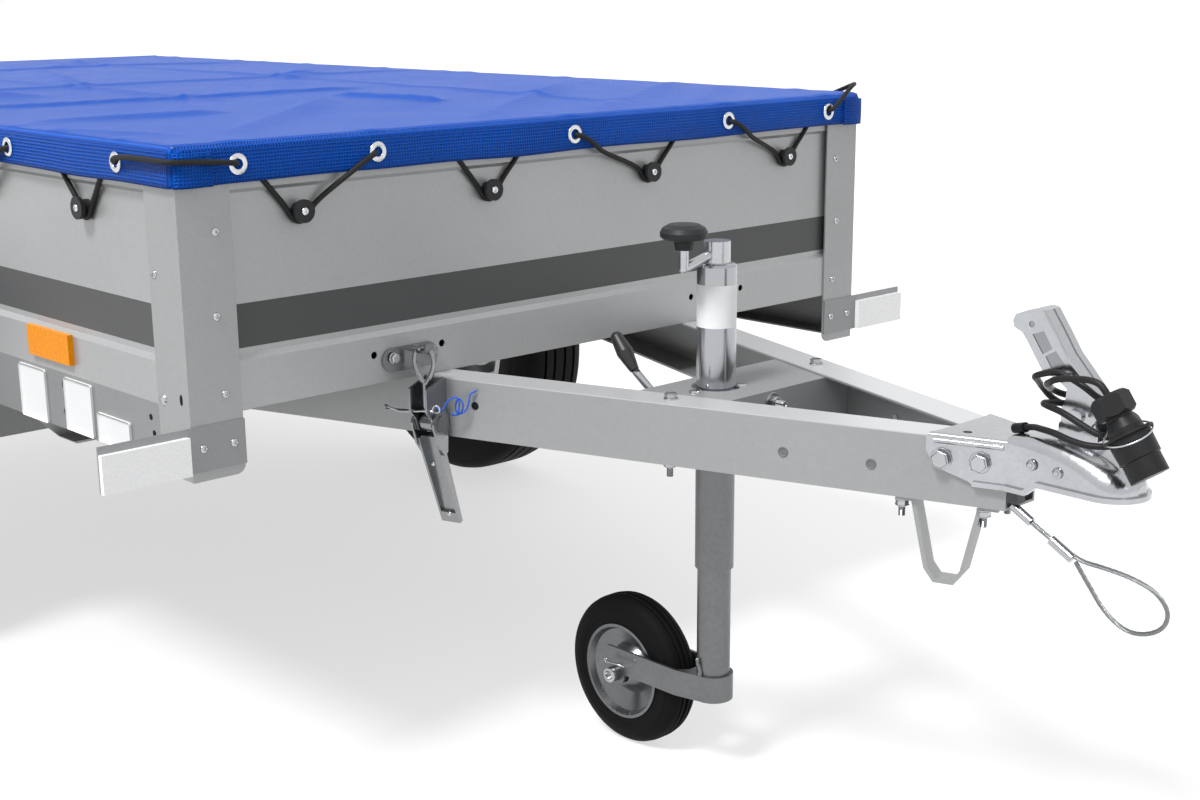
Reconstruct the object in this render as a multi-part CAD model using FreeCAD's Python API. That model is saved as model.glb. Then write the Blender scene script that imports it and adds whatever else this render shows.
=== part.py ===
import FreeCAD, Part
import math
import os

V = FreeCAD.Vector

# A single-axle tipping utility trailer with a tarpaulin, standing on its jockey wheel.
# Millimetres, +X forwards to the coupling, +Y to the left, +Z up. While the pieces are made,
# x = 0 is the front face of the corner posts. At the end each is moved by row_shift, so that the
# origin lies on the ground under the middle of the trailer.

# Box
box_length = 2095.0
box_width = 1170.0
wall_sheet = 1.5
wall_height = 295.0
rail_height = 56.0
rail_depth = 20.0
rail_lip = 24.0
band_height = 50.0
panel_step = 6.0
step_rise = 6.0
rail_step = 4.5
post_sheet = 2.5
post_face = 68.0
post_drop = 7.0
post_corner = 12.0
rear_post_face = 40.0
floor_thickness = 9.0
floor_gap = 1.0
fit_gap = 0.3

# Bed frame
beam_top = 515.0
beam_height = 73.0
beam_flange = 40.0
beam_sheet = 2.5
member_height = 60.0
member_flange = 35.0
member_places = (-1210.0, -1640.0)
sill_flange = 40.0
spare_hole_x = -306.0
spare_hole_z = 464.0
spare_hole_pitch = 35.0
spare_hole_r = 5.0
wall_hole_pitch = 104.0
wall_hole_z = 543.0
wall_hole_r = 4.5

# Drawbar
arm_top = 507.5
arm_height = 73.5
arm_flange = 47.0
arm_sheet = 3.0
arm_front_x = 697.0
arm_tip_y = 27.3
arm_rear_inset = 1.6
arm_centre_gap = 1.0
move_gap = 5.5
pivot_x = -838.0
pivot_r = 8.0
pivot_collar_r = 13.0
pivot_collar = 11.0
pivot_inset = 22.0
pivot_stub = 2.8
pin_play = 0.05
end_plate = 5.0
bearer_x = -500.0
bearer_inset = 55.0
bearer_height = 53.0
bearer_flange = 50.0
bearer_sheet = 3.0
bearer_chamfer = 30.0

# Jockey plate and clamp
plate_rear_x = 238.0
plate_front_x = 352.0
plate_sheet = 4.0
jockey_x = 288.0
jockey_y = -36.0
clamp_height = 67.0
clamp_wall = 6.0
clamp_slot = 4.0
clamp_lug = 24.0
clamp_lug_half = 9.0
clamp_screw_r = 5.0
clamp_nut_r = 9.0
grip_neck_r = 5.8
grip_r = 10.5
grip_end_r = 8.0
grip_swell = 26.0
grip_length = 46.0
grip_rod_r = 5.0
grip_start = (212.0, -99.0, 522.0)
grip_way = (181.0, -100.0, 560.0)
clamp_bend_gap = 34.0
clamp_nut_reach = 17.0

# Jockey leg
tube_r = 24.0
tube_low = 275.0
tube_high = 655.0
inner_r = 21.0
inner_wall = 2.5
inner_low = 103.0
inner_high = 600.0
head_height = 26.0
crank_r = 6.0
crank_reach = 57.0
crank_level = 13.0
crank_drop = 14.0
crank_rise = 26.0
knob_r = 28.0
knob_stem_r = 12.0
knob_height = 28.0
fork_height = 34.0
fork_sheet = 4.0
fork_gap = 4.0
fork_bend = 36.0
jockey_trail = 143.0
jockey_wheel_r = 100.0
jockey_wheel_width = 50.0
jockey_rim_r = 64.0
jockey_axle_r = 10.0

# Coupling
head_reach = 146.0
head_nose_wall = 4.0
head_half_width = 35.0
head_top = 519.0
head_low = 470.0
cheek_low = 458.5
head_sheet = 4.0
cheek_overlap = 82.0
top_overlap = 77.0
ball_r = 25.0
ball_drop = 4.0
cup_wall = 5.0
cup_play = 0.5
cup_lip = 1.0
handle_pivot_back = 37.0
handle_pivot_rise = 29.0
handle_width = 30.0
handle_sheet = 3.0
handle_bolt_r = 5.0
handle_bolt_head_r = 8.0
handle_bolt_head = 4.0
handle_mark_depth = 1.0
ear_gap = 0.3
rib_z = 504.0
rib_r = 3.0
lip_reach = 4.0
lip_height = 5.5

# V strap and rope eye under the arms' tips
strap_x = 628.0
strap_y = -30.0
strap_half = 35.0
strap_low = 345.0
strap_bend_half = 9.0
strap_bend_rise = 12.0
strap_width = 24.0
strap_sheet = 5.0
strap_tab = 22.0
rope_lug_length = 14.0
rope_lug_width = 14.0
rope_lug_height = 16.0

# Axle and wheels
wheel_x = -1065.0
wheel_box_gap = 19.0
wheel_r = 280.0
tyre_width = 150.0
tread_width = 118.0
tyre_wall = 9.0
tread_wall = 13.0
rim_r = 165.0
rim_flange = 9.0
rim_well = 20.0
rim_width = 118.0
rim_sheet = 4.0
disc_offset = 22.0
stud_circle_r = 50.0
stud_r = 7.0
hub_r = 62.0
hub_length = 46.0
hub_arm_gap = 33.0
stub_r = 15.0
cap_r = 24.0
cap_length = 30.0
axle_x = -930.0
axle_z = 318.0
axle_side = 60.0
axle_wall = 5.0
axle_inset = 40.0
swing_thickness = 22.0
swing_r = 36.0
bracket_sheet = 6.0
bracket_length = 120.0

# Mudguards
guard_tyre_gap = 46.0
guard_sheet = 4.0
guard_box_gap = 1.0
guard_overhang = 21.0
guard_lip = 22.0
guard_start = 34.0
guard_end = 166.0

# Tailgate
gate_thickness = 20.0
gate_side_gap = 6.0
gate_drop = 8.0
gate_hinge_z = 522.0
gate_hinge_r = 6.0
gate_hinge_out = 7.0
hinge_pin_r = 3.5
hinge_length = 80.0
hinge_lug = 6.0
hinge_lug_low = 482.0
hinge_inset = 205.0
rear_sill_height = 73.0
catch_inset = 18.0
catch_width = 28.0
catch_depth = 12.0
catch_height = 60.0
catch_top = 742.0

# Lamps and reflectors
lamp_length = 190.0
lamp_height = 70.0
lamp_depth = 32.0
lamp_inset = 130.0
lamp_top = 476.0
lamp_bar_top = 500.0
lamp_bar_low = 412.0
front_bracket_low = 447.0
front_bracket_high = 499.5
front_bracket_stand = 115.0
front_lens_length = 108.0
front_lens_height = 44.0
lens_depth = 7.0
side_lens_length = 108.0
side_lens_height = 38.0
side_lens_z = 529.0
side_lens_x = -379.0

# Cover and its knobs
cover_sheet = 3.0
cover_gap = 0.3
skirt_gap = 3.0
cover_skirt_low = 766.0
cover_crown = 12.0
knob_spool_r = 13.5
knob_spool_length = 16.0
knob_z = 727.0
knob_front_inset = 161.0
knob_front_count = 4
knob_side_first = 214.4
knob_side_last = 272.6
knob_side_count = 7

# Tilt latch on the right arm
latch_x = 28.0
latch_stand = 28.3
latch_wire_r = 3.3
keeper_sheet = 4.0
latch_eye_half = 14.0
latch_eye_top = 549.8
latch_eye_low = 503.0
stem_low = 474.0
hook_width = 12.0
keeper_z = 534.0
keeper_half = 42.0
keeper_rise = 15.0
lever_pin_z = 453.5
lever_pin_out = 18.5
lever_lobe_r = 17.0
lever_pin_r = 7.0
lever_pin_head_r = 10.5
lever_pin_head = 1.5
roller_r = 10.0
roller_half = 8.0
lever_half = 14.0
lever_ear = 3.0
lever_sheet = 3.0
base_gap = 0.5
base_sheet = 3.0

# Cords
lead_d = 7.0
rope_d = 5.0
gland_length = 18.0
gland_nut = 23.0
gland_nut_r = 20.5
plug_rim_r = 26.0
ferrule_r = 5.0
ferrule_length = 27.0

# Places that follow from the sizes above
half_width = box_width / 2.0
beyond = 2.0 * box_length
skin_y = half_width - post_sheet
skin_front_x = -post_sheet
skin_rear_x = -box_length + post_sheet
wall_inner_y = skin_y - rail_depth
beam_low = beam_top - beam_height
wall_top = beam_top + wall_height
post_low = beam_low - post_drop
floor_top = beam_top + floor_thickness
arm_low = arm_top - arm_height
nose_x = arm_front_x + head_reach
ball_x = nose_x - head_half_width - head_nose_wall
rear_reach = box_length + lamp_depth
row_shift = (rear_reach - nose_x) / 2.0
pivot_z = arm_low + arm_height / 2.0
pivot_plate_y = skin_y - beam_flange - move_gap
pivot_end_r = arm_height / 2.0
arm_slope = (pivot_plate_y - arm_rear_inset - arm_tip_y) / (arm_front_x - pivot_x)
arm_line_y = arm_tip_y + arm_slope * arm_front_x
head_rear_x = arm_front_x - cheek_overlap
plate_top_rear_x = arm_front_x - top_overlap
handle_pivot_x = ball_x - handle_pivot_back
handle_pivot_z = head_top + handle_pivot_rise
latch_y = -(arm_line_y - arm_slope * latch_x + latch_stand)
wall_hole_y = -latch_y
latch_turn = math.degrees(math.atan(arm_slope))
latch_out = latch_stand * math.cos(math.radians(latch_turn))
latch_web_x = latch_x - latch_out * math.sin(math.radians(latch_turn))
latch_web_y = latch_y + latch_out * math.cos(math.radians(latch_turn))
jockey_axle_x = jockey_x - jockey_trail
clamp_low = arm_low + 2.0
clamp_screw_y = jockey_y - tube_r - clamp_wall - clamp_lug / 2
clamp_screw_z = clamp_low + clamp_height / 2
rear_x = -box_length
gate_axis_x = rear_x - gate_hinge_out
hinge_y = half_width - hinge_inset
lamp_y = half_width - lamp_inset
wheel_y = half_width + wheel_box_gap + tyre_width / 2.0
axle_half_length = half_width - axle_inset
guard_r = wheel_r + guard_tyre_gap
guard_inner_y = half_width + guard_box_gap
guard_outer_y = wheel_y + tyre_width / 2.0 + guard_overhang
hub_inner_y = axle_half_length + swing_thickness + hub_arm_gap
front_bracket_reach = half_width + front_bracket_stand
rim_face_y = wheel_y + disc_offset - rim_sheet


def slab(x0, x1, y0, y1, z0, z1):
    """A box between two corners, whichever way round they are given."""
    low = V(min(x0, x1), min(y0, y1), min(z0, z1))
    return Part.makeBox(abs(x1 - x0), abs(y1 - y0), abs(z1 - z0), low)


def rod(start, end, radius):
    """A round bar from one point to another."""
    start = V(*start)
    way = V(*end) - start
    return Part.makeCylinder(radius, way.Length, start, way)


def prism(points, plane, start, length):
    """A closed outline in the plane xy, xz or yz, drawn out along the axis that is left."""
    if plane == "yz":
        corners = [V(start, a, b) for a, b in points]
        way = V(length, 0, 0)
    elif plane == "xz":
        corners = [V(a, start, b) for a, b in points]
        way = V(0, length, 0)
    else:
        corners = [V(a, b, start) for a, b in points]
        way = V(0, 0, length)
    face = Part.Face(Part.makePolygon(corners + [corners[0]]))
    return face.extrude(way)


def folded(points, sheet):
    """The outline of a sheet bent along an open line, with the sheet on the line's left."""
    inner = []
    for i, (a, b) in enumerate(points):
        turns = []
        for j in (i - 1, i):
            if 0 <= j < len(points) - 1:
                da = points[j + 1][0] - points[j][0]
                db = points[j + 1][1] - points[j][1]
                size = math.hypot(da, db)
                turns.append((-db / size, da / size))
        na = sum(t[0] for t in turns)
        nb = sum(t[1] for t in turns)
        scale = sheet * len(turns) / (na * na + nb * nb)
        if len(turns) == 1:
            scale = sheet
        inner.append((a + na * scale, b + nb * scale))
    return list(points) + inner[::-1]


def turned(outline, centre, axis=V(0, 1, 0)):
    """A solid of revolution. The outline is (distance along the axis, radius) pairs."""
    side = V(1, 0, 0) if abs(axis.x) < 0.5 else V(0, 1, 0)
    centre = V(*centre)
    corners = [centre + axis * a + side * r for a, r in outline]
    face = Part.Face(Part.makePolygon(corners + [corners[0]]))
    return face.revolve(centre, axis, 360)


def mirrored(shape):
    """The same piece on the other side of the trailer."""
    return shape.mirror(V(0, 0, 0), V(0, 1, 0))


def both_sides(shape):
    """A compound of a piece and its mirror image."""
    return Part.makeCompound([shape, mirrored(shape)])


def joined(first, *others):
    """One solid from pieces that touch or overlap."""
    result = first
    for other in others:
        result = result.fuse(other)
    return result.removeSplitter()


def route_wire(points):
    """A path of straight runs joined by tangent arcs, as large as the runs allow."""
    points = [V(*p) for p in points]
    edges = []
    radii = []
    last = points[0]
    for before, corner, after in zip(points, points[1:], points[2:]):
        back = (before - corner).normalize()
        on = (after - corner).normalize()
        turn = math.pi - back.getAngle(on)
        reach = 0.45 * min((before - corner).Length, (after - corner).Length)
        radii.append(reach / math.tan(turn / 2.0))
        start = corner + back * reach
        end = corner + on * reach
        half = (back + on).normalize()
        depth = reach / math.cos(back.getAngle(on) / 2.0)
        centre = corner + half * depth
        middle = centre - half * radii[-1]
        edges.append(Part.LineSegment(last, start).toShape())
        edges.append(Part.Arc(start, middle, end).toShape())
        last = end
    edges.append(Part.LineSegment(last, points[-1]).toShape())
    return Part.Wire(edges), radii


def cord(name, points, diameter):
    """A plain tube along a cord's route. Its tightest arcs are printed."""
    wire, radii = route_wire(points)
    start = V(*points[0])
    way = V(*points[1]) - start
    section = Part.Wire([Part.Circle(start, way, diameter / 2.0).toShape()])
    tube = wire.makePipeShell([section], True, True)
    expected = math.pi * diameter ** 2 / 4.0 * wire.Length
    print(name, "length", round(wire.Length, 1), "least radii", [round(r, 1) for r in sorted(radii)[:4]],
          "volume ratio", round(tube.Volume / expected, 4), "valid", tube.isValid())
    return tube


def wall_outline(low, high):
    """Section of a pressed wall: (distance in from the outer skin, height)."""
    panel = panel_step
    line = [
        (0.0, low),
        (0.0, beam_top + band_height),
        (panel, beam_top + band_height + step_rise),
        (panel, high - rail_height),
        (panel - rail_step, high - rail_height + rail_step),
        (panel - rail_step, high),
        (rail_depth, high),
        (rail_depth, high - rail_lip),
    ]
    mirrored_line = [(-a, b) for a, b in line]
    return [(-a, b) for a, b in folded(mirrored_line, wall_sheet)]


def side_wall():
    outline = [(skin_y - a, z) for a, z in wall_outline(beam_top, wall_top)]
    return prism(outline, "yz", skin_rear_x, skin_front_x - skin_rear_x)


def front_wall():
    """The front panel has a foot that turns in under the floor, and a drip edge below it."""
    lip_low = arm_top + fit_gap
    outline = [(skin_front_x - a, z) for a, z in wall_outline(lip_low, wall_top)]
    width = 2.0 * (wall_inner_y - fit_gap)
    wall = prism(outline, "xz", -width / 2.0, width)
    foot_half = skin_y - beam_flange - fit_gap
    foot = slab(skin_front_x - sill_flange, skin_front_x - wall_sheet / 2,
                -foot_half, foot_half, beam_top - beam_sheet, beam_top)
    wall = joined(wall, foot)
    for side in (-1, 1):
        for shift in (-0.5, 0.5):
            y = side * wall_hole_y + shift * wall_hole_pitch
            wall = wall.cut(rod((skin_front_x + 1, y, wall_hole_z),
                                (skin_front_x - 2 * wall_sheet, y, wall_hole_z), wall_hole_r))
    return wall


def side_beam():
    """C section that opens inwards, with the tilt pin's hole."""
    line = [(skin_y - beam_flange, beam_top), (skin_y, beam_top),
            (skin_y, beam_low), (skin_y - beam_flange, beam_low)]
    outline = folded(line[::-1], beam_sheet)
    beam = prism(outline, "yz", skin_rear_x, skin_front_x - wall_sheet - skin_rear_x)
    hole = rod((pivot_x, skin_y - 2 * beam_sheet, pivot_z), (pivot_x, skin_y + 1, pivot_z),
               pivot_r + pin_play)
    beam = beam.cut(hole)
    for z in (spare_hole_z, spare_hole_z + spare_hole_pitch):
        beam = beam.cut(rod((spare_hole_x, skin_y - 2 * beam_sheet, z), (spare_hole_x, skin_y + 1, z),
                            spare_hole_r))
    return beam


def post(face):
    """A corner post folded from sheet, with the free lower corner of each face rounded. Front left."""
    plan = folded([(-post_face, half_width), (0.0, half_width), (0.0, half_width - face)][::-1],
                  post_sheet)
    shape = prism(plan, "xy", post_low, wall_top - post_low)
    side_corner = slab(-post_face, -post_face + post_corner, skin_y, half_width,
                       post_low, post_low + post_corner)
    side_round = rod((-post_face + post_corner, skin_y, post_low + post_corner),
                     (-post_face + post_corner, half_width, post_low + post_corner), post_corner)
    front_corner = slab(-post_sheet, 0.0, half_width - face, half_width - face + post_corner,
                        post_low, post_low + post_corner)
    front_round = rod((-post_sheet, half_width - face + post_corner, post_low + post_corner),
                      (0.0, half_width - face + post_corner, post_low + post_corner), post_corner)
    return shape.cut(side_corner.cut(side_round)).cut(front_corner.cut(front_round))


def floor_panel():
    width = wall_inner_y - floor_gap
    front = skin_front_x - rail_depth - floor_gap
    rear = rear_x + gate_thickness + floor_gap + move_gap
    return slab(rear, front, -width, width, beam_top, floor_top)


def cross_members():
    """Two C sections under the floor and the deeper rear sill."""
    reach = skin_y - beam_flange - fit_gap
    pieces = []
    for x in member_places:
        top = beam_top
        low = top - member_height
        line = [(x - member_flange, low), (x, low), (x, top), (x - member_flange, top)]
        pieces.append(prism(folded(line, beam_sheet), "xz", -reach, 2 * reach))
    x = skin_rear_x
    low = beam_top - rear_sill_height
    line = [(x + sill_flange, low), (x, low), (x, beam_top), (x + sill_flange, beam_top)]
    pieces.append(prism(folded(line[::-1], beam_sheet), "xz", -reach, 2 * reach))
    return Part.makeCompound(pieces)


def arm():
    """The left arm: a C section that opens inwards, with a rounded pivot plate at its rear."""
    angle = math.degrees(math.atan(arm_slope))
    line = [(-arm_flange, arm_low), (0.0, arm_low), (0.0, arm_top), (-arm_flange, arm_top)]
    bar = prism(folded(line, arm_sheet), "yz", -beyond, 2.0 * beyond)
    bar.rotate(V(0, 0, 0), V(0, 0, 1), -angle)
    bar.translate(V(0, arm_line_y, 0))
    far = beyond
    rear = pivot_x
    bar = bar.common(slab(rear, arm_front_x, arm_centre_gap / 2, far, 0, far))
    plate = slab(pivot_x, pivot_x + 70.0, pivot_plate_y - end_plate, pivot_plate_y, arm_low, arm_top)
    end = rod((pivot_x, pivot_plate_y - end_plate, pivot_z), (pivot_x, pivot_plate_y, pivot_z),
              pivot_end_r)
    outside = slab(rear, pivot_x + 200.0, pivot_plate_y, far, 0, far)
    bar = joined(bar.cut(outside), plate, end)
    hole = rod((pivot_x, 0, pivot_z), (pivot_x, far, pivot_z), pivot_r + pin_play)
    return bar.cut(hole)


def pivot_pin():
    """The pin that the bed tips on, collared inside the arm and ending flush outside the beam."""
    inner = pivot_plate_y - end_plate - pivot_inset
    pin = rod((pivot_x, inner, pivot_z), (pivot_x, skin_y + pivot_stub, pivot_z), pivot_r)
    collar = rod((pivot_x, inner, pivot_z), (pivot_x, inner + pivot_collar, pivot_z), pivot_collar_r)
    return joined(pin, collar)


def cross_bearer():
    """The channel bolted across under the arms, with chamfered ends."""
    top = arm_low - 0.2
    low = top - bearer_height
    far = half_width - bearer_inset
    front = bearer_x + bearer_flange
    line = [(front, low), (bearer_x, low), (bearer_x, top), (front, top)]
    bar = prism(folded(line[::-1], bearer_sheet), "xz", -far, 2 * far)
    corner = [(far - bearer_chamfer, low - 1), (far + 1, low - 1), (far + 1, low + bearer_chamfer)]
    wedge = prism(corner, "yz", bearer_x - 10, bearer_flange + 20)
    return bar.cut(wedge).cut(mirrored(wedge))


def cross_plate():
    """The folded plate between the arms that carries the jockey clamp."""
    top = arm_top - arm_sheet - 0.2
    low = arm_low + arm_sheet + 0.2
    line = [(plate_rear_x, top), (plate_front_x, top), (plate_front_x, low)]
    bar = prism(folded(line[::-1], plate_sheet), "xz", -half_width, box_width)
    inset = arm_sheet * math.hypot(1.0, arm_slope) + 0.3
    rear_half = arm_line_y - arm_slope * (plate_rear_x - 10) - inset
    front_half = arm_line_y - arm_slope * (plate_front_x + 10) - inset
    wedge = [(plate_rear_x - 10, -rear_half), (plate_front_x + 10, -front_half),
             (plate_front_x + 10, front_half), (plate_rear_x - 10, rear_half)]
    bar = bar.common(prism(wedge, "xy", 0, beyond))
    bar = bar.cut(rod((jockey_x, jockey_y, 0), (jockey_x, jockey_y, beyond), tube_r + clamp_wall))
    window = rod((plate_front_x + 5, 0, low - 8), (plate_front_x - 9, 0, low - 8), 42.0)
    return bar.cut(window)


def jockey_clamp():
    """A split ring welded in the plate, with two lugs that the handle's screw pulls together."""
    low = (jockey_x, jockey_y, clamp_low)
    high = (jockey_x, jockey_y, clamp_low + clamp_height)
    ring = rod(low, high, tube_r + clamp_wall)
    lug = slab(jockey_x - clamp_lug_half, jockey_x + clamp_lug_half,
               jockey_y - tube_r - clamp_wall - clamp_lug, jockey_y,
               clamp_low + 10, clamp_low + clamp_height - 10)
    ring = joined(ring, lug)
    slot = slab(jockey_x - clamp_slot / 2, jockey_x + clamp_slot / 2, jockey_y - 100, jockey_y,
                clamp_low - 1, clamp_low + clamp_height + 1)
    bore = rod((jockey_x, jockey_y, 0), (jockey_x, jockey_y, beyond), tube_r + pin_play)
    screw = rod((jockey_x - 30, clamp_screw_y, clamp_screw_z), (jockey_x + 30, clamp_screw_y, clamp_screw_z),
                clamp_screw_r + pin_play)
    return ring.cut(slot).cut(bore).cut(screw)


def clamp_handle():
    """The clamp's screw, with a rod bent up and back to a swelling black grip."""
    y = clamp_screw_y
    z = clamp_screw_z
    bend_x = jockey_x - clamp_bend_gap
    nut_x = jockey_x + clamp_nut_reach
    start = V(*grip_start)
    way = (V(*grip_way) - start).normalize()
    screw = rod((nut_x, y, z), (bend_x, y, z), clamp_screw_r)
    bend = Part.makeSphere(grip_rod_r, V(bend_x, y, z))
    lever = rod((bend_x, y, z), grip_start, grip_rod_r)
    low = Part.makeCone(grip_neck_r, grip_r, grip_swell, start, way)
    high = Part.makeCone(grip_r, grip_end_r, grip_length - grip_swell, start + way * grip_swell, way)
    end = Part.makeSphere(grip_end_r, start + way * grip_length)
    nut = rod((jockey_x + clamp_lug_half, y, z), (nut_x, y, z), clamp_nut_r)
    return joined(screw, bend, lever, low, high, end, nut)


def coupling_plan(grow, low, height):
    """The coupling's outline from above, moved out by grow, as a solid."""
    cheek = arm_line_y + head_sheet + 1.2
    rear_y = cheek - arm_slope * head_rear_x + grow
    waist_x = arm_front_x
    waist_y = head_half_width + grow - 3.0
    nose_r = head_half_width + grow
    nose_c = ball_x
    left = [V(head_rear_x - grow, rear_y, low), V(waist_x, waist_y, low), V(nose_c, nose_r, low)]
    right = [V(p.x, -p.y, low) for p in left[::-1]]
    edges = [Part.LineSegment(left[0], left[1]).toShape(),
             Part.LineSegment(left[1], left[2]).toShape(),
             Part.Arc(left[2], V(nose_c + nose_r, 0, low), right[0]).toShape(),
             Part.LineSegment(right[0], right[1]).toShape(),
             Part.LineSegment(right[1], right[2]).toShape(),
             Part.LineSegment(right[2], left[0]).toShape()]
    return Part.Face(Part.Wire(edges)).extrude(V(0, 0, height))


# The coupling neck's sections: x, half width, top, radius of the upper corners
neck_steps = 3
neck_sections = [(697.0, 32.0, 516.0, 8.0), (725.0, 32.8, 519.0, 13.0), (762.0, 33.8, 519.0, 20.0),
                 (790.0, 34.6, 512.5, 24.0), (812.0, 34.1, 504.0, 26.0), (826.0, 27.2, 496.5, 20.0),
                 (834.0, 18.0, 490.5, 14.0), (838.0, 8.3, 485.0, 7.0)]
neck_hollow = [(697.0, 28.0, 510.8, 5.0), (725.0, 28.8, 515.0, 10.0), (762.0, 29.8, 515.0, 17.0),
               (790.0, 30.6, 508.5, 21.0), (812.0, 29.5, 499.8, 22.0), (824.0, 23.0, 492.5, 17.0),
               (831.0, 13.0, 486.0, 10.0), (834.0, 6.0, 481.0, 5.0)]


def between(sections, steps):
    """More sections between the given ones, on smooth curves through them."""
    result = []
    last = len(sections) - 1
    for i in range(last):
        before = sections[max(i - 1, 0)]
        here = sections[i]
        there = sections[i + 1]
        after = sections[min(i + 2, last)]
        for k in range(steps):
            t = k / steps
            result.append(tuple(
                b + 0.5 * t * ((c - a) + t * ((2 * a - 5 * b + 4 * c - d) + t * (3 * b - a - 3 * c + d)))
                for a, b, c, d in zip(before, here, there, after)))
    return result + [sections[-1]]


def neck(sections, low):
    """A solid through upright sections with rounded upper corners."""
    wires = []
    for x, half, top, r in between(sections, neck_steps):
        bend = r * (1.0 - math.sqrt(0.5))
        left = [V(x, -half, low), V(x, -half, top - r), V(x, -half + bend, top - bend), V(x, -half + r, top)]
        right = [V(x, -p.y, p.z) for p in left[::-1]]
        wires.append(Part.Wire([
            Part.LineSegment(left[0], left[1]).toShape(), Part.Arc(left[1], left[2], left[3]).toShape(),
            Part.LineSegment(left[3], right[0]).toShape(), Part.Arc(right[0], right[1], right[2]).toShape(),
            Part.LineSegment(right[2], right[3]).toShape(), Part.LineSegment(right[3], left[0]).toShape()]))
    return Part.makeLoft(wires, True, True)


def rear_cheeks(shrink, top, front):
    """The coupling's part over the arms, moved in by shrink, as a solid."""
    rear = head_rear_x - 5.0 * shrink
    plan = []
    for x in (rear, front):
        y = arm_line_y + head_sheet + 1.2 - arm_slope * x - shrink
        plan.append((x, y))
    plan += [(x, -y) for x, y in plan[::-1]]
    return prism(plan, "xy", cheek_low - 10.0, top - cheek_low + 10.0)


def coupling_outside():
    """The coupling's outer form, before it is hollowed."""
    plate_top = arm_top + fit_gap + head_sheet
    rear = rear_cheeks(0.0, plate_top, arm_front_x + 3.0)
    long_edges = [e for e in rear.Edges if e.BoundBox.ZMin > plate_top - 0.1 and e.BoundBox.XLength > 20.0]
    rear = rear.makeFillet(4.0, long_edges)
    return joined(rear, neck(neck_sections, cheek_low - 10.0))


def coupling_head():
    """A pressed shell over the arms' tips: a ribbed cheek on each side, a domed nose and a turned lip."""
    hollow = rear_cheeks(head_sheet, arm_top + fit_gap, arm_front_x + 0.5)
    body = coupling_outside().cut(hollow).cut(neck(neck_hollow, cheek_low - 11.0))
    corner_x = head_rear_x + 51.0
    step_x = arm_front_x + 27.0
    far = nose_x + 20.0
    side = [(head_rear_x, 530.0), (head_rear_x, 493.0), (head_rear_x + 9.0, 475.0),
            (head_rear_x + 45.0, 463.0), (corner_x, cheek_low), (step_x, cheek_low),
            (step_x + 14.0, head_low), (far, head_low), (far, 530.0)]
    body = body.common(prism(side, "xz", -half_width, box_width))
    plate_x = plate_top_rear_x
    notch = [(head_rear_x - 100.0, -200.0), (head_rear_x, -70.0), (plate_x, -40.0), (plate_x, 40.0),
             (head_rear_x, 70.0), (head_rear_x - 100.0, 200.0)]
    body = body.cut(prism(notch, "xy", arm_top + 0.2, 30.0))
    band = [(corner_x, cheek_low), (step_x, cheek_low), (step_x + 14.0, head_low), (far, head_low),
            (far, head_low + lip_height), (step_x + 12.0, head_low + lip_height),
            (step_x - 2.0, cheek_low + lip_height), (corner_x, cheek_low + lip_height)]
    ring = coupling_plan(lip_reach, cheek_low - 5.0, 40.0).cut(coupling_plan(-0.5, cheek_low - 6.0, 42.0))
    body = joined(body, ring.common(prism(band, "xz", -half_width, box_width)))
    hole = rod((head_rear_x + 32.0, -30.0, arm_top), (head_rear_x + 32.0, -30.0, head_top), 5.0)
    rear = V(head_rear_x + 8.0, 0.0, rib_z)
    front = V(arm_front_x - 2.0, 0.0, rib_z)
    for side in (-1, 1):
        ends = [(p.x, side * (arm_line_y + head_sheet + 1.2 - arm_slope * p.x), p.z) for p in (rear, front)]
        body = joined(body, rod(ends[0], ends[1], rib_r))
    return body.cut(hole)


def coupling_cup():
    """The pressed cup under the head's top that closes over the tow ball."""
    centre_z = head_low + ball_drop
    outer = rod((ball_x, 0, head_low + cup_lip), (ball_x, 0, head_top), ball_r + cup_wall)
    inside = [(x, half - pin_play, top - pin_play, r) for x, half, top, r in neck_hollow]
    pocket = Part.makeSphere(ball_r + cup_play, V(ball_x, 0, centre_z))
    mouth = rod((ball_x, 0, 0), (ball_x, 0, centre_z), ball_r + cup_play)
    return outer.common(neck(inside, cheek_low)).cut(pocket).cut(mouth)


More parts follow.
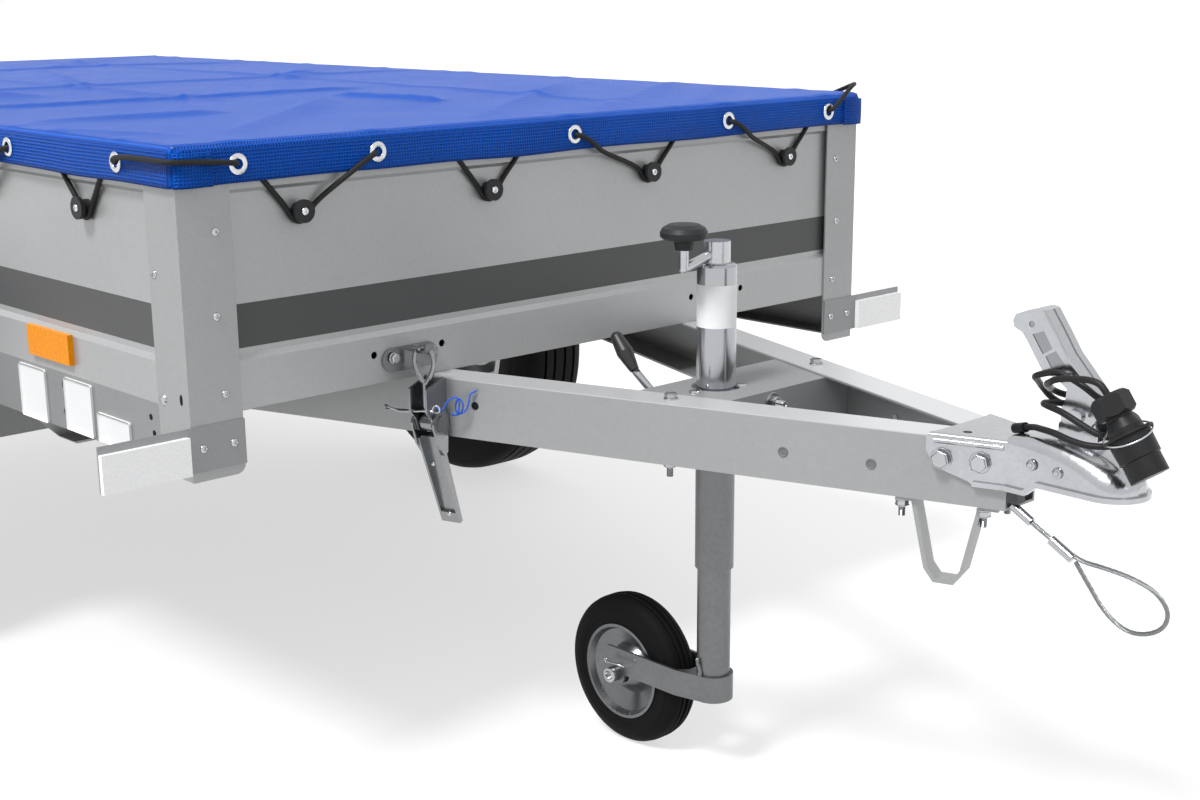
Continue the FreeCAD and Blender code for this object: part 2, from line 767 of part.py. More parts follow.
def coupling_handle():
    """A pressed lever, open below, hinged on a stand: marked side faces and a grooved back."""
    half = handle_width / 2.0
    back = [(724.0, 651.0), (739.0, 630.0), (753.0, 609.0), (770.0, 591.0), (786.0, 574.0), (792.0, 560.0)]
    foot = [(790.0, 548.0), (783.0, 538.0), (770.0, 531.0), (757.0, 533.0), (749.0, 542.0), (749.0, 553.0),
            (753.0, 563.0), (754.0, 574.0)]
    under = [(744.0, 581.0), (724.0, 588.5), (704.0, 617.5), (698.0, 625.0), (688.0, 629.5)]
    tip = [(686.0, 636.0), (689.0, 643.0), (703.5, 649.0), (713.5, 652.0)]
    body = prism(tip + back + foot + under, "xz", -half, 2 * half)
    ridge = [e for e in body.Edges if e.BoundBox.YLength < 0.1 and
             any(abs(e.CenterOfMass.x - (a[0] + b[0]) / 2.0) < 0.5 and abs(e.CenterOfMass.z - (a[1] + b[1]) / 2.0) < 0.5
                 for a, b in zip(back, back[1:]))]
    body = body.makeFillet(4.0, ridge)
    sheet = handle_sheet
    hollow = [(692.0, 634.0), (705.0, 645.0), (722.0, 646.5), (735.0, 627.0), (749.0, 606.0), (766.0, 588.0),
              (782.0, 571.0), (788.0, 558.0), (780.0, 500.0), (700.0, 500.0), (600.0, 560.0), (600.0, 620.0)]
    body = body.cut(prism(hollow, "xz", -half + sheet, 2 * (half - sheet)))
    outer_line = [(x + 2.0, z + 1.5) for x, z in back[:-1]]
    inner_line = [(x - 1.0, z - 0.8) for x, z in back[:-1]]
    body = body.cut(prism(outer_line + inner_line[::-1], "xz", -1.6, 3.2))
    panels = [[(710.0, 624.6), (723.4, 629.8), (734.7, 612.7), (723.5, 605.6)],
              [(726.7, 603.9), (738.5, 611.2), (753.0, 595.9), (736.0, 590.0)]]
    for side in (-1, 1):
        face = side * half
        for panel in panels:
            body = body.cut(prism(panel, "xz", face - handle_mark_depth, 2 * handle_mark_depth))
        body = body.cut(rod((708.8, face - handle_mark_depth, 635.0), (708.8, face + handle_mark_depth, 635.0), 3.5))
    body = body.cut(rod((782.0, -half - 1, 551.0), (782.0, half + 1, 551.0), 2.0))
    reach = half + handle_bolt_head
    bolt = rod((handle_pivot_x, -half - 1, handle_pivot_z), (handle_pivot_x, half + 1, handle_pivot_z),
               handle_bolt_r)
    heads = [rod((handle_pivot_x, side * half, handle_pivot_z), (handle_pivot_x, side * reach, handle_pivot_z),
                 handle_bolt_head_r) for side in (-1, 1)]
    stand_half = half - sheet - ear_gap
    stand_side = [(745.0, 505.0), (745.0, 536.0), (752.0, 546.0), (758.0, 556.0), (776.0, 556.0),
                  (784.0, 548.0), (789.0, 536.0), (789.0, 505.0)]
    stand = prism(stand_side, "xz", -stand_half, 2 * stand_half)
    inside = slab(740.0, 800.0, -stand_half + sheet, stand_half - sheet, head_top + 4, 600.0)
    stand = stand.cut(inside).cut(coupling_outside())
    return joined(body, bolt, stand, *heads)


# Route of the lead, from the coupling's top, wound round the handle's foot, to the plug
lead_route = [
    (704.0, -8.0, 523.4), (716.0, -12.0, 527.0), (730.0, -24.0, 530.0), (752.0, -32.0, 531.0),
    (773.0, -34.0, 526.5), (795.0, -33.0, 524.5), (815.0, -24.0, 526.5), (824.0, -4.0, 531.0),
    (818.0, 16.0, 536.0), (796.0, 28.0, 541.0), (768.0, 31.0, 545.0), (742.0, 29.0, 548.0),
    (724.0, 14.0, 550.0), (722.0, -8.0, 553.0), (738.0, -27.0, 556.5), (762.0, -34.0, 554.5),
    (783.0, -35.0, 546.5), (802.0, -34.0, 539.0), (818.0, -30.0, 536.0), (829.0, -8.0, 541.0),
    (820.0, 18.0, 546.0), (798.0, 34.0, 549.0), (770.0, 40.0, 547.0), (742.0, 41.0, 543.0),
    (720.0, 39.0, 542.0), (706.0, 35.0, 548.0), (700.0, 24.0, 562.0), (707.0, 4.0, 573.5),
    (721.0, -26.0, 584.5), (749.3, -30.0, 594.5), (764.6, -30.0, 590.7), (783.4, -30.0, 583.4),
    (800.0, -29.0, 573.0), (815.0, -13.0, 567.0), (812.0, 10.0, 564.0), (795.0, 27.0, 561.0),
    (770.0, 31.0, 559.5), (745.0, 30.0, 558.0), (727.5, 31.0, 555.0), (714.0, 25.0, 559.0),
    (719.0, 2.0, 571.0), (738.5, -24.0, 579.3), (752.0, -38.0, 587.0), (766.0, -42.0, 591.5),
    (782.0, -42.5, 593.5), (798.0, -43.5, 595.0), (810.5, -44.0, 592.1), (817.0, -44.0, 583.0),
]
plug_start = (817.0, -44.0, 583.0)
plug_end = (869.0, -44.0, 510.0)

# Route of the steel safety rope, a loop under the coupling that ends in its own crimp
rope_route = [
    (725.0, -20.0, 426.5), (776.0, -20.0, 398.3), (812.0, -20.0, 397.5), (845.0, -21.0, 395.0),
    (874.0, -22.0, 387.0), (889.0, -22.0, 369.0), (883.0, -22.0, 350.0), (862.0, -21.0, 338.0),
    (839.0, -20.0, 337.0), (815.0, -18.0, 350.0), (797.0, -16.0, 370.0), (782.0, -16.0, 391.0),
]


def v_strap():
    """The bent strap under the right arm's tip that the trailer rests its nose on."""
    top = arm_low - 0.2
    bend = strap_bend_half
    knee = strap_low + strap_bend_rise
    line = [(-strap_half - strap_tab, top), (-strap_half, top), (-2.0 * bend, knee), (-bend, strap_low),
            (bend, strap_low), (2.0 * bend, knee), (strap_half, top), (strap_half + strap_tab, top)]
    strap = prism(folded(line[::-1], strap_sheet)[::-1], "xz", -strap_width / 2, strap_width)
    strap.rotate(V(0, 0, 0), V(0, 0, 1), math.degrees(math.atan(arm_slope)))
    strap.translate(V(strap_x, strap_y, 0))
    return strap


def rope_eye():
    """The lug on the right arm's tip that the safety rope's ferrule hangs from."""
    end = V(*rope_route[0])
    way = (V(*rope_route[1]) - end).normalize()
    low = end.z - way.z * ferrule_length + ferrule_r * way.x
    web_y = arm_line_y - arm_slope * arm_front_x
    return slab(arm_front_x, arm_front_x + rope_lug_length, -web_y, rope_lug_width - web_y,
                low, low + rope_lug_height)


def tyre(side):
    """The road tyre: rounded shoulders and bulging sidewalls, hollow, its beads in the rim."""
    half = tyre_width / 2.0
    tread = tread_width / 2.0
    bead = rim_width / 2.0 - fit_gap
    seat = rim_r + fit_gap
    flange_top = rim_r + rim_flange + fit_gap
    wall = tyre_wall
    outer = [(-bead, seat), (-bead, flange_top), (-rim_width / 2 - 4, flange_top + 3),
             (-half, wheel_r - 68), (-half, wheel_r - 42), (-tread, wheel_r - 9),
             (-tread * 0.6, wheel_r)]
    inner = [(-tread * 0.6, wheel_r - tread_wall), (-tread + 4, wheel_r - tread_wall - 6),
             (-half + wall, wheel_r - 44), (-half + wall, wheel_r - 66),
             (-bead + wall + 2, flange_top + 6), (-bead + wall + 4, seat)]
    outline = outer + [(-a, r) for a, r in outer[::-1]]
    outline += [(-a, r) for a, r in inner[::-1]] + inner
    return turned(outline, (wheel_x, side * wheel_y, wheel_r))


def rim(side):
    """The pressed steel rim: barrel with a well and flanges, and a dished disc with stud holes."""
    half = rim_width / 2.0
    sheet = rim_sheet
    well = rim_r - rim_well
    line = [(-half, rim_r + rim_flange), (-half, rim_r), (-half * 0.5, rim_r - 2), (-half * 0.38, well),
            (half * 0.38, well), (half * 0.5, rim_r - 2), (half, rim_r), (half, rim_r + rim_flange)]
    barrel = [(side * a, r) for a, r in folded(line[::-1], sheet)]
    centre = V(wheel_x, side * wheel_y, wheel_r)
    body = turned(barrel, centre)
    lift = disc_offset
    edge = well - sheet + 0.5
    disc = [(lift, cap_r + 4), (lift, 72), (lift + 12, 90), (lift + 12, 112), (lift - 2, edge),
            (lift - 2 - 3 * sheet, edge), (lift + 12 - sheet, 108), (lift + 12 - sheet, 92),
            (lift - sheet, 74), (lift - sheet, cap_r + 4)]
    disc = [(side * a, r) for a, r in disc]
    body = joined(body, turned(disc, centre))
    for k in range(4):
        a = math.radians(45 + 90 * k)
        p = centre + V(stud_circle_r * math.cos(a), 0, stud_circle_r * math.sin(a))
        body = body.cut(rod((p.x, p.y - 100, p.z), (p.x, p.y + 100, p.z), stud_r))
    return body


def hub(side):
    """The hub flange and its grease cap, which turn with the wheel."""
    y0 = hub_inner_y
    face = rim_face_y
    outline = [(y0, stub_r + pin_play), (y0, hub_r - 22), (y0 + hub_length, hub_r - 22),
               (face - 10, hub_r), (face, hub_r), (face, cap_r), (face + cap_length, cap_r),
               (face + cap_length + 6, cap_r - 8), (face + cap_length + 6, 0.0),
               (face + cap_length, 0.0), (face + cap_length - 4, stub_r + pin_play)]
    outline = [(side * a, r) for a, r in outline]
    return turned(outline, (wheel_x, 0, wheel_r))


def axle_beam():
    """The square tube of the rubber axle and the brackets that bolt it to the side beams."""
    half = axle_side / 2.0
    far = axle_half_length
    beam = slab(axle_x - half, axle_x + half, -far, far, axle_z - half, axle_z + half)
    hollow = half - axle_wall
    beam = beam.cut(slab(axle_x - hollow, axle_x + hollow, -far - 1, far + 1,
                         axle_z - hollow, axle_z + hollow))
    inner = skin_y - beam_flange + 2.0
    web = slab(axle_x - bracket_length / 2, axle_x + bracket_length / 2, inner - bracket_sheet, inner,
               axle_z + half, beam_low)
    foot = slab(axle_x - bracket_length / 2, axle_x + bracket_length / 2, inner - bracket_sheet,
                skin_y - 4, beam_low - bracket_sheet, beam_low)
    return joined(beam, web, foot, mirrored(web), mirrored(foot))


def swing_arm():
    """The left trailing arm and stub axle, at one end of the axle beam."""
    y0 = axle_half_length
    y1 = y0 + swing_thickness
    boss = rod((axle_x, y0, axle_z), (axle_x, y1, axle_z), swing_r)
    end = rod((wheel_x, y0, wheel_r), (wheel_x, y1, wheel_r), swing_r - 8)
    way = V(wheel_x - axle_x, 0, wheel_r - axle_z)
    side_way = V(-way.z, 0, way.x).normalize()
    a = V(axle_x, y0, axle_z) + side_way * swing_r
    b = V(axle_x, y0, axle_z) - side_way * swing_r
    c = V(wheel_x, y0, wheel_r) - side_way * (swing_r - 8)
    d = V(wheel_x, y0, wheel_r) + side_way * (swing_r - 8)
    web = Part.Face(Part.makePolygon([a, b, c, d, a])).extrude(V(0, swing_thickness, 0))
    stub_end = rim_face_y + cap_length - 6
    stub = rod((wheel_x, y1, wheel_r), (wheel_x, stub_end, wheel_r), stub_r)
    return joined(boss, end, web, stub)


def mudguard():
    """The left mudguard: a moulded arch over the wheel with a turned-down outer lip and an inner fixing flange."""
    centre = V(wheel_x, 0, wheel_r)
    section = [(guard_inner_y, guard_r), (guard_outer_y, guard_r),
               (guard_outer_y, guard_r - guard_lip), (guard_outer_y - guard_sheet, guard_r - guard_lip),
               (guard_outer_y - guard_sheet, guard_r - guard_sheet),
               (guard_inner_y + guard_sheet, guard_r - guard_sheet),
               (guard_inner_y + guard_sheet, guard_r - guard_lip - 14),
               (guard_inner_y, guard_r - guard_lip - 14)]
    corners = [centre + V(r, y, 0) for y, r in section]
    face = Part.Face(Part.makePolygon(corners + [corners[0]]))
    shape = face.revolve(centre, V(0, -1, 0), guard_end - guard_start)
    shape.rotate(centre, V(0, -1, 0), guard_start)
    return shape


def tailgate():
    """The rear panel between the posts, a folded sheet tray with its hinge knuckles."""
    half = half_width - rear_post_face - gate_side_gap
    low = gate_hinge_z
    high = wall_top - gate_drop
    outline = [(rear_x + a, z) for a, z in wall_outline(low, high)]
    body = prism(outline, "xz", -half, 2 * half)
    foot = slab(rear_x, rear_x + gate_thickness, -half, half, low, low + wall_sheet)
    body = joined(body, foot)
    for side in (-1, 1):
        cheek = [(x, z) for x, z in outline[:6]] + [(rear_x + gate_thickness, high), (rear_x + gate_thickness, low)]
        body = joined(body, prism(cheek, "xz", min(side * half, side * (half - wall_sheet)), wall_sheet))
    for y in (-hinge_y, hinge_y):
        y0 = y - hinge_length / 2
        y1 = y + hinge_length / 2
        knuckle = rod((gate_axis_x, y0, low), (gate_axis_x, y1, low), gate_hinge_r)
        leaf = slab(gate_axis_x, rear_x, y0, y1, low, low + gate_hinge_r)
        body = joined(body, knuckle, leaf)
        body = body.cut(rod((gate_axis_x, y0 - 1, low), (gate_axis_x, y1 + 1, low),
                            hinge_pin_r + pin_play))
    return body


def gate_hinges():
    """The tailgate's hinge pins, each held between two lugs on the rear sill."""
    result = []
    low = gate_hinge_z
    for y in (-hinge_y, hinge_y):
        half = hinge_length / 2 + fit_gap
        pin = rod((gate_axis_x, y - half - hinge_lug, low), (gate_axis_x, y + half + hinge_lug, low),
                  hinge_pin_r)
        shape = pin
        for side in (-1, 1):
            y0 = y + side * half
            y1 = y0 + side * hinge_lug
            eye = rod((gate_axis_x, y0, low), (gate_axis_x, y1, low), gate_hinge_r)
            lug = slab(gate_axis_x - gate_hinge_r, rear_x, y0, y1, hinge_lug_low, beam_top)
            neck = slab(gate_axis_x - gate_hinge_r, gate_axis_x + gate_hinge_r, y0, y1, beam_top - 1, low)
            shape = joined(shape, eye, lug, neck)
        result.append(shape)
    return Part.makeCompound(result)


def gate_latches():
    """The two over-centre catches on the tailgate's upper corners."""
    half = half_width - rear_post_face - gate_side_gap
    inner = half - catch_inset - catch_width
    body = slab(rear_x - catch_depth, rear_x + panel_step, inner, inner + catch_width,
                catch_top - catch_height, catch_top)
    return both_sides(body)


def rear_lamps():
    """The two combination lamps on the ends of the lamp bar."""
    lamp = slab(rear_x - lamp_depth, rear_x, lamp_y - lamp_length / 2, lamp_y + lamp_length / 2,
                lamp_top - lamp_height, lamp_top)
    return both_sides(lamp)


def lamp_bar():
    """The folded bar across the rear sill that carries the lamps and the blank number plate."""
    half = half_width - rear_post_face - fit_gap
    bar = slab(rear_x, rear_x + post_sheet, -half, half, lamp_bar_low, lamp_bar_top)
    foot = slab(rear_x, rear_x + 20, -half, half, lamp_bar_low, lamp_bar_low + post_sheet)
    return joined(bar, foot)


def front_bracket():
    """The flat bar on the post's foot that carries the front lens."""
    return slab(0, 3.0, half_width - post_face, front_bracket_reach, front_bracket_low,
                front_bracket_high)


def front_lens():
    y0 = front_bracket_reach - front_lens_length
    z0 = front_bracket_low
    return slab(3.0, 3.0 + lens_depth, y0, y0 + front_lens_length, z0, z0 + front_lens_height)


def side_lens():
    return slab(side_lens_x, side_lens_x + side_lens_length, skin_y, skin_y + lens_depth,
                side_lens_z, side_lens_z + side_lens_height)


def cover_section(inset, x, low, length):
    """The cover's inverted U across the trailer, with a crowned top, drawn along x."""
    half = half_width + skirt_gap + cover_sheet - inset
    edge = wall_top + cover_gap + cover_sheet - inset
    crown = edge + cover_crown
    points = [V(x, -half, low), V(x, -half, edge), V(x, half, edge), V(x, half, low)]
    edges = [Part.LineSegment(points[0], points[1]).toShape(),
             Part.Arc(points[1], V(x, 0, crown), points[2]).toShape(),
             Part.LineSegment(points[2], points[3]).toShape(),
             Part.LineSegment(points[3], points[0]).toShape()]
    return Part.Face(Part.Wire(edges)).extrude(V(length, 0, 0))


def cover():
    """The tarpaulin: top, front skirt and side skirts. The rear skirt is a piece of its own."""
    front = skirt_gap + cover_sheet
    rear = rear_x - skirt_gap - cover_sheet
    outer = cover_section(0.0, rear, cover_skirt_low, front - rear)
    inner = cover_section(cover_sheet, rear - 1, cover_skirt_low - 1, front - rear + 1 - cover_sheet)
    return outer.cut(inner)


def cover_rear_flap():
    """The rear skirt, which hangs in front of the tailgate's top edge."""
    rear = rear_x - skirt_gap - cover_sheet
    half = half_width + skirt_gap - 0.5
    return slab(rear, rear + cover_sheet, -half, half, cover_skirt_low, wall_top)


def spool(x, y, way):
    """One lacing knob: a flanged spool riveted to the wall."""
    r = knob_spool_r
    long = knob_spool_length
    outline = [(0, 0), (0, r - 4), (long * 0.55, r - 4), (long * 0.7, r), (long, r), (long, 0)]
    return turned(outline, (x, y, knob_z), V(*way))


def lacing_knobs():
    pieces = []
    panel_x = skin_front_x - panel_step
    front_span = box_width - 2.0 * knob_front_inset
    for k in range(knob_front_count):
        y = -front_span / 2.0 + k * front_span / (knob_front_count - 1)
        pieces.append(spool(panel_x, y, (1, 0, 0)))
    panel_y = skin_y - panel_step
    side_span = box_length - knob_side_first - knob_side_last
    for k in range(knob_side_count):
        x = -knob_side_first - k * side_span / (knob_side_count - 1)
        pieces.append(spool(x, panel_y, (0, 1, 0)))
        pieces.append(spool(x, -panel_y, (0, -1, 0)))
    return Part.makeCompound(pieces)


def latch_keeper():
    """The bolted plate on the front wall, its hook, and the eye and stem that hang from it."""
    front = skin_front_x + keeper_sheet
    low = keeper_z - keeper_rise
    high = keeper_z + keeper_rise
    flat = keeper_half - keeper_rise
    plate = slab(skin_front_x, front, latch_y - flat, latch_y + flat, low, high)
    for side in (-1, 1):
        plate = joined(plate, rod((skin_front_x, latch_y + side * flat, keeper_z),
                                  (front, latch_y + side * flat, keeper_z), keeper_rise))
    hook_y = latch_y - hook_width / 2.0
    under = latch_eye_top - latch_wire_r + 0.5
    hook = [(front - 1.0, under - keeper_sheet), (latch_x + 6.0, under - keeper_sheet),
            (latch_x + 12.0, under), (latch_x + 12.0, latch_eye_top + 6.0),
            (latch_x + 8.0, latch_eye_top + 6.0), (latch_x + 8.0, under + 2.0), (latch_x + 6.0, under),
            (front - 1.0, under)]
    hook = prism(hook, "xz", hook_y, hook_width)
    loops = []
    half = latch_eye_half
    tall = latch_eye_top - latch_eye_low
    for side in (-1, 1):
        line = [V(0, 0, latch_eye_top), V(side * half * 0.62, 0, latch_eye_top - 0.06 * tall),
                V(side * half, 0, latch_eye_top - 0.35 * tall),
                V(side * half * 0.72, 0, latch_eye_top - 0.68 * tall), V(0, 0, latch_eye_low)]
        curve = Part.BSplineCurve()
        curve.interpolate(line)
        path = Part.Wire([curve.toShape()])
        section = Part.Wire([Part.Circle(line[0], curve.tangent(0)[0], latch_wire_r).toShape()])
        loops.append(path.makePipeShell([section], True, True))
    eye = joined(loops[0], loops[1], Part.makeSphere(latch_wire_r, V(0, 0, latch_eye_top)),
                 rod((0, 0, latch_eye_low + 3.0), (0, 0, stem_low), latch_wire_r + 0.7))
    eye.rotate(V(0, 0, 0), V(0, 0, 1), latch_turn)
    eye.translate(V(latch_x, latch_y, 0))
    return joined(plate, hook, eye)


def at_latch(shape):
    """Takes a piece drawn with x along the arm and -y out from its web to the latch's place."""
    shape.rotate(V(0, 0, 0), V(0, 0, 1), latch_turn)
    shape.translate(V(latch_web_x, latch_web_y, 0))
    return shape


def latch_lever():
    """The over-centre lever: ears round the roller pin, and a channel that hangs inwards to its tip."""
    pin_y = -lever_pin_out
    inner = lever_half
    outer = lever_half + lever_ear
    top = (-27.5, 434.5)
    tip = (21.7, 314.0)
    behind_top = (-13.6, 440.2)
    behind_tip = (27.3, 316.3)
    body = prism([top, behind_top, behind_tip, tip], "yz", -inner, 2 * inner)
    groove = [(-31.0, 436.0), (-17.5, 437.0), (-16.3, 435.0), (19.5, 331.0), (14.0, 327.0)]
    body = body.cut(prism(groove, "yz", -inner + lever_sheet, 2 * (inner - lever_sheet)))
    for side in (-1, 1):
        x0 = side * inner
        x1 = side * outer
        lobe = rod((x0, pin_y, lever_pin_z), (x1, pin_y, lever_pin_z), lever_lobe_r)
        wing = prism([(-27.5, 428.0), (-14.0, 412.0), (-6.0, 415.0), (-4.0, 446.0), (-33.0, 446.0)],
                     "yz", min(x0, x1), lever_ear)
        inside = prism([top, (-24.0, 425.0), (-8.0, 425.0), behind_top], "yz", min(side * (inner - 1.0), x0), 1.0)
        head = rod((x1, pin_y, lever_pin_z), (x1 + side * lever_pin_head, pin_y, lever_pin_z),
                   lever_pin_head_r)
        body = joined(body, lobe, wing, inside, head)
    pin = rod((-inner, pin_y, lever_pin_z), (inner, pin_y, lever_pin_z), lever_pin_r)
    roller = rod((-roller_half, pin_y, lever_pin_z), (roller_half, pin_y, lever_pin_z), roller_r)
    return at_latch(joined(body, pin, roller))


def latch_base():
    """The bracket welded to the right arm's web, with two plates that stand out beside the stem."""
    outer = lever_half - base_gap
    back = slab(-outer, outer, -base_sheet, 0.0, lever_pin_z - 4.0, arm_top - 0.5)
    shape = back
    for side in (-1, 1):
        x0 = side * (outer - base_sheet)
        x1 = side * outer
        plate = prism([(0.0, lever_pin_z - 9.0), (-26.0, lever_pin_z - 9.0), (-34.0, 462.0), (-44.0, 472.0),
                       (-44.0, 501.0), (-6.0, 510.0), (0.0, arm_top - 0.5)], "yz", min(x0, x1), base_sheet)
        bore = rod((x0 - base_sheet, -lever_pin_out, lever_pin_z), (x0 + base_sheet, -lever_pin_out, lever_pin_z),
                   lever_pin_r + pin_play)
        shape = joined(shape, plate.cut(bore))
    roller_room = rod((-roller_half - 0.3, -lever_pin_out, lever_pin_z), (roller_half + 0.3, -lever_pin_out, lever_pin_z),
                      roller_r + 0.3)
    return at_latch(shape.cut(roller_room))


def jockey_outer():
    outline = [(tube_low, 0), (tube_low, tube_r), (tube_high - 4, tube_r), (tube_high - 1.2, tube_r - 1.2),
               (tube_high, tube_r - 4), (tube_high, 0)]
    outer = turned(outline, (jockey_x, jockey_y, 0), V(0, 0, 1))
    inner = rod((jockey_x, jockey_y, tube_low - 1), (jockey_x, jockey_y, tube_high - 4),
                inner_r + pin_play)
    return outer.cut(inner)


def jockey_crank():
    """The head on the tube and the cranked rod to the knob."""
    top = tube_high + head_height
    head = rod((jockey_x, jockey_y, tube_high), (jockey_x, jockey_y, top), tube_r - 8)
    z = tube_high + crank_level
    elbow = (jockey_x, jockey_y - crank_reach, z - crank_drop)
    bar = rod((jockey_x, jockey_y, z), elbow, crank_r)
    bar = bar.cut(rod((jockey_x, jockey_y, tube_high - 60), (jockey_x, jockey_y, tube_high),
                      tube_r + fit_gap))
    ball = Part.makeSphere(crank_r, V(*elbow))
    rise = rod(elbow, (elbow[0], elbow[1], elbow[2] + crank_rise - 4.0), crank_r)
    return joined(head, bar, ball, rise)


def jockey_knob():
    """The mushroom knob that turns the crank."""
    y = jockey_y - crank_reach
    z = tube_high + crank_level - crank_drop + crank_rise
    outline = [(-4, 0), (-4, knob_stem_r - 2), (6, knob_stem_r), (8, knob_stem_r + 4), (9, knob_r - 3),
               (12, knob_r), (17, knob_r), (22, knob_r - 3), (26, knob_r - 10), (knob_height, 0)]
    return turned(outline, (jockey_x, y, z), V(0, 0, 1))


def jockey_inner():
    outer = rod((jockey_x, jockey_y, inner_low), (jockey_x, jockey_y, inner_high), inner_r)
    inner = rod((jockey_x, jockey_y, inner_low - 1), (jockey_x, jockey_y, inner_high + 1),
                inner_r - inner_wall)
    return outer.cut(inner)


def jockey_fork():
    """A strap bent round the inner tube, both cheeks running back to the axle."""
    half = jockey_wheel_width / 2.0 + fork_gap + fork_sheet
    z0 = jockey_wheel_r + 1.0
    z1 = z0 + fork_height
    near = inner_r + 0.1
    wrap = near + fork_sheet
    bend_x = jockey_x - fork_bend
    rear_x0 = jockey_axle_x - 16
    plan = [(rear_x0, half), (bend_x, half), (jockey_x, wrap), (jockey_x, -wrap), (bend_x, -half), (rear_x0, -half)]
    outer = joined(prism([(x, jockey_y + y) for x, y in plan], "xy", z0, fork_height),
                   rod((jockey_x, jockey_y, z0), (jockey_x, jockey_y, z1), wrap))
    clear = half - fork_sheet
    hollow = [(rear_x0 - 1, clear), (bend_x, clear), (jockey_x - near - 4, near - 4), (jockey_x - near - 4, 4 - near),
              (bend_x, -clear), (rear_x0 - 1, -clear)]
    gap = prism([(x, jockey_y + y) for x, y in hollow], "xy", z0 - 1, fork_height + 2)
    tube = rod((jockey_x, jockey_y, z0 - 1), (jockey_x, jockey_y, z1 + 1), near)
    body = outer.cut(gap).cut(tube)
    axle = rod((jockey_axle_x, jockey_y - half - 8, jockey_wheel_r),
               (jockey_axle_x, jockey_y + half + 8, jockey_wheel_r), jockey_axle_r)
    boss = rod((jockey_axle_x, jockey_y - half, jockey_wheel_r),
               (jockey_axle_x, jockey_y - half + fork_sheet, jockey_wheel_r), 16.0)
    other = rod((jockey_axle_x, jockey_y + half - fork_sheet, jockey_wheel_r),
                (jockey_axle_x, jockey_y + half, jockey_wheel_r), 16.0)
    return joined(body, axle, boss, other)


def jockey_tyre():
    half = jockey_wheel_width / 2.0
    r = jockey_wheel_r
    outline = [(-half + 12, r), (half - 12, r), (half - 3, r - 6), (half, r - 16), (half, jockey_rim_r),
               (-half, jockey_rim_r), (-half, r - 16), (-half + 3, r - 6)]
    return turned(outline, (jockey_axle_x, jockey_y, r))


def jockey_rim():
    half = jockey_wheel_width / 2.0
    r = jockey_rim_r - 0.1
    bore = jockey_axle_r + pin_play
    outline = [(-half, r), (half, r), (half, r - 4), (half - 8, r - 8), (6, r - 30), (half + 1, 18),
               (half + 1, bore), (-half - 1, bore), (-half - 1, 18), (-6, r - 30), (-half + 8, r - 8),
               (-half, r - 4)]
    return turned(outline, (jockey_axle_x, jockey_y, jockey_wheel_r))


def lead_plug():
    """The seven-pin plug: a hexagonal gland nut, a flared neck, the rim of its lid and the body."""
    start = V(*plug_start)
    way = (V(*plug_end) - start)
    length = way.Length
    way = way.normalize()
    outline = [(gland_nut - 1, 0), (gland_nut - 1, 13.5), (gland_nut + 3, 13.5), (36, 18), (41, 18),
               (42, plug_rim_r), (45, plug_rim_r), (46, 22), (69, 21.5), (70, 20), (length, 20), (length, 0)]
    side = V(0, 1, 0)
    corners = [start + way * a + side * r for a, r in outline]
    body = Part.Face(Part.makePolygon(corners + [corners[0]])).revolve(start, way, 360)
    across = way.cross(side)
    flat = []
    for k in range(6):
        a = math.radians(60.0 * k)
        flat.append(start + (side * math.cos(a) + across * math.sin(a)) * gland_nut_r)
    nut = Part.Face(Part.makePolygon(flat + [flat[0]])).extrude(way * gland_nut)
    cone = [(0, 0), (0, gland_nut_r - 4), (4, gland_nut_r), (gland_nut - 3, gland_nut_r),
            (gland_nut, gland_nut_r - 3), (gland_nut, 0)]
    corners = [start + way * a + side * r for a, r in cone]
    cone = Part.Face(Part.makePolygon(corners + [corners[0]])).revolve(start, way, 360)
    return joined(nut.common(cone), body)


def lead_gland():
    """The rubber sleeve on the coupling's top that the lead leaves it by."""
    start = V(*lead_route[0])
    way = (V(*lead_route[1]) - start).normalize()
    sleeve = Part.makeCylinder(lead_d / 2 + 2, gland_length, start - way * gland_length, way)
    return sleeve.cut(coupling_outside())


def ferrule():
    """The rope's end fitting, from the eye under the coupling to the rope."""
    end = V(*rope_route[0])
    way = (end - V(*rope_route[1])).normalize()
    return Part.makeCylinder(ferrule_r, ferrule_length, end, way)


def crimp():
    """The sleeve pressed over both strands where the loop closes."""
    start = V(*rope_route[0])
    way = (V(*rope_route[1]) - start).normalize()
    return Part.makeCylinder(rope_d / 2 + 3.0, 30, start + way * 28.0, way)


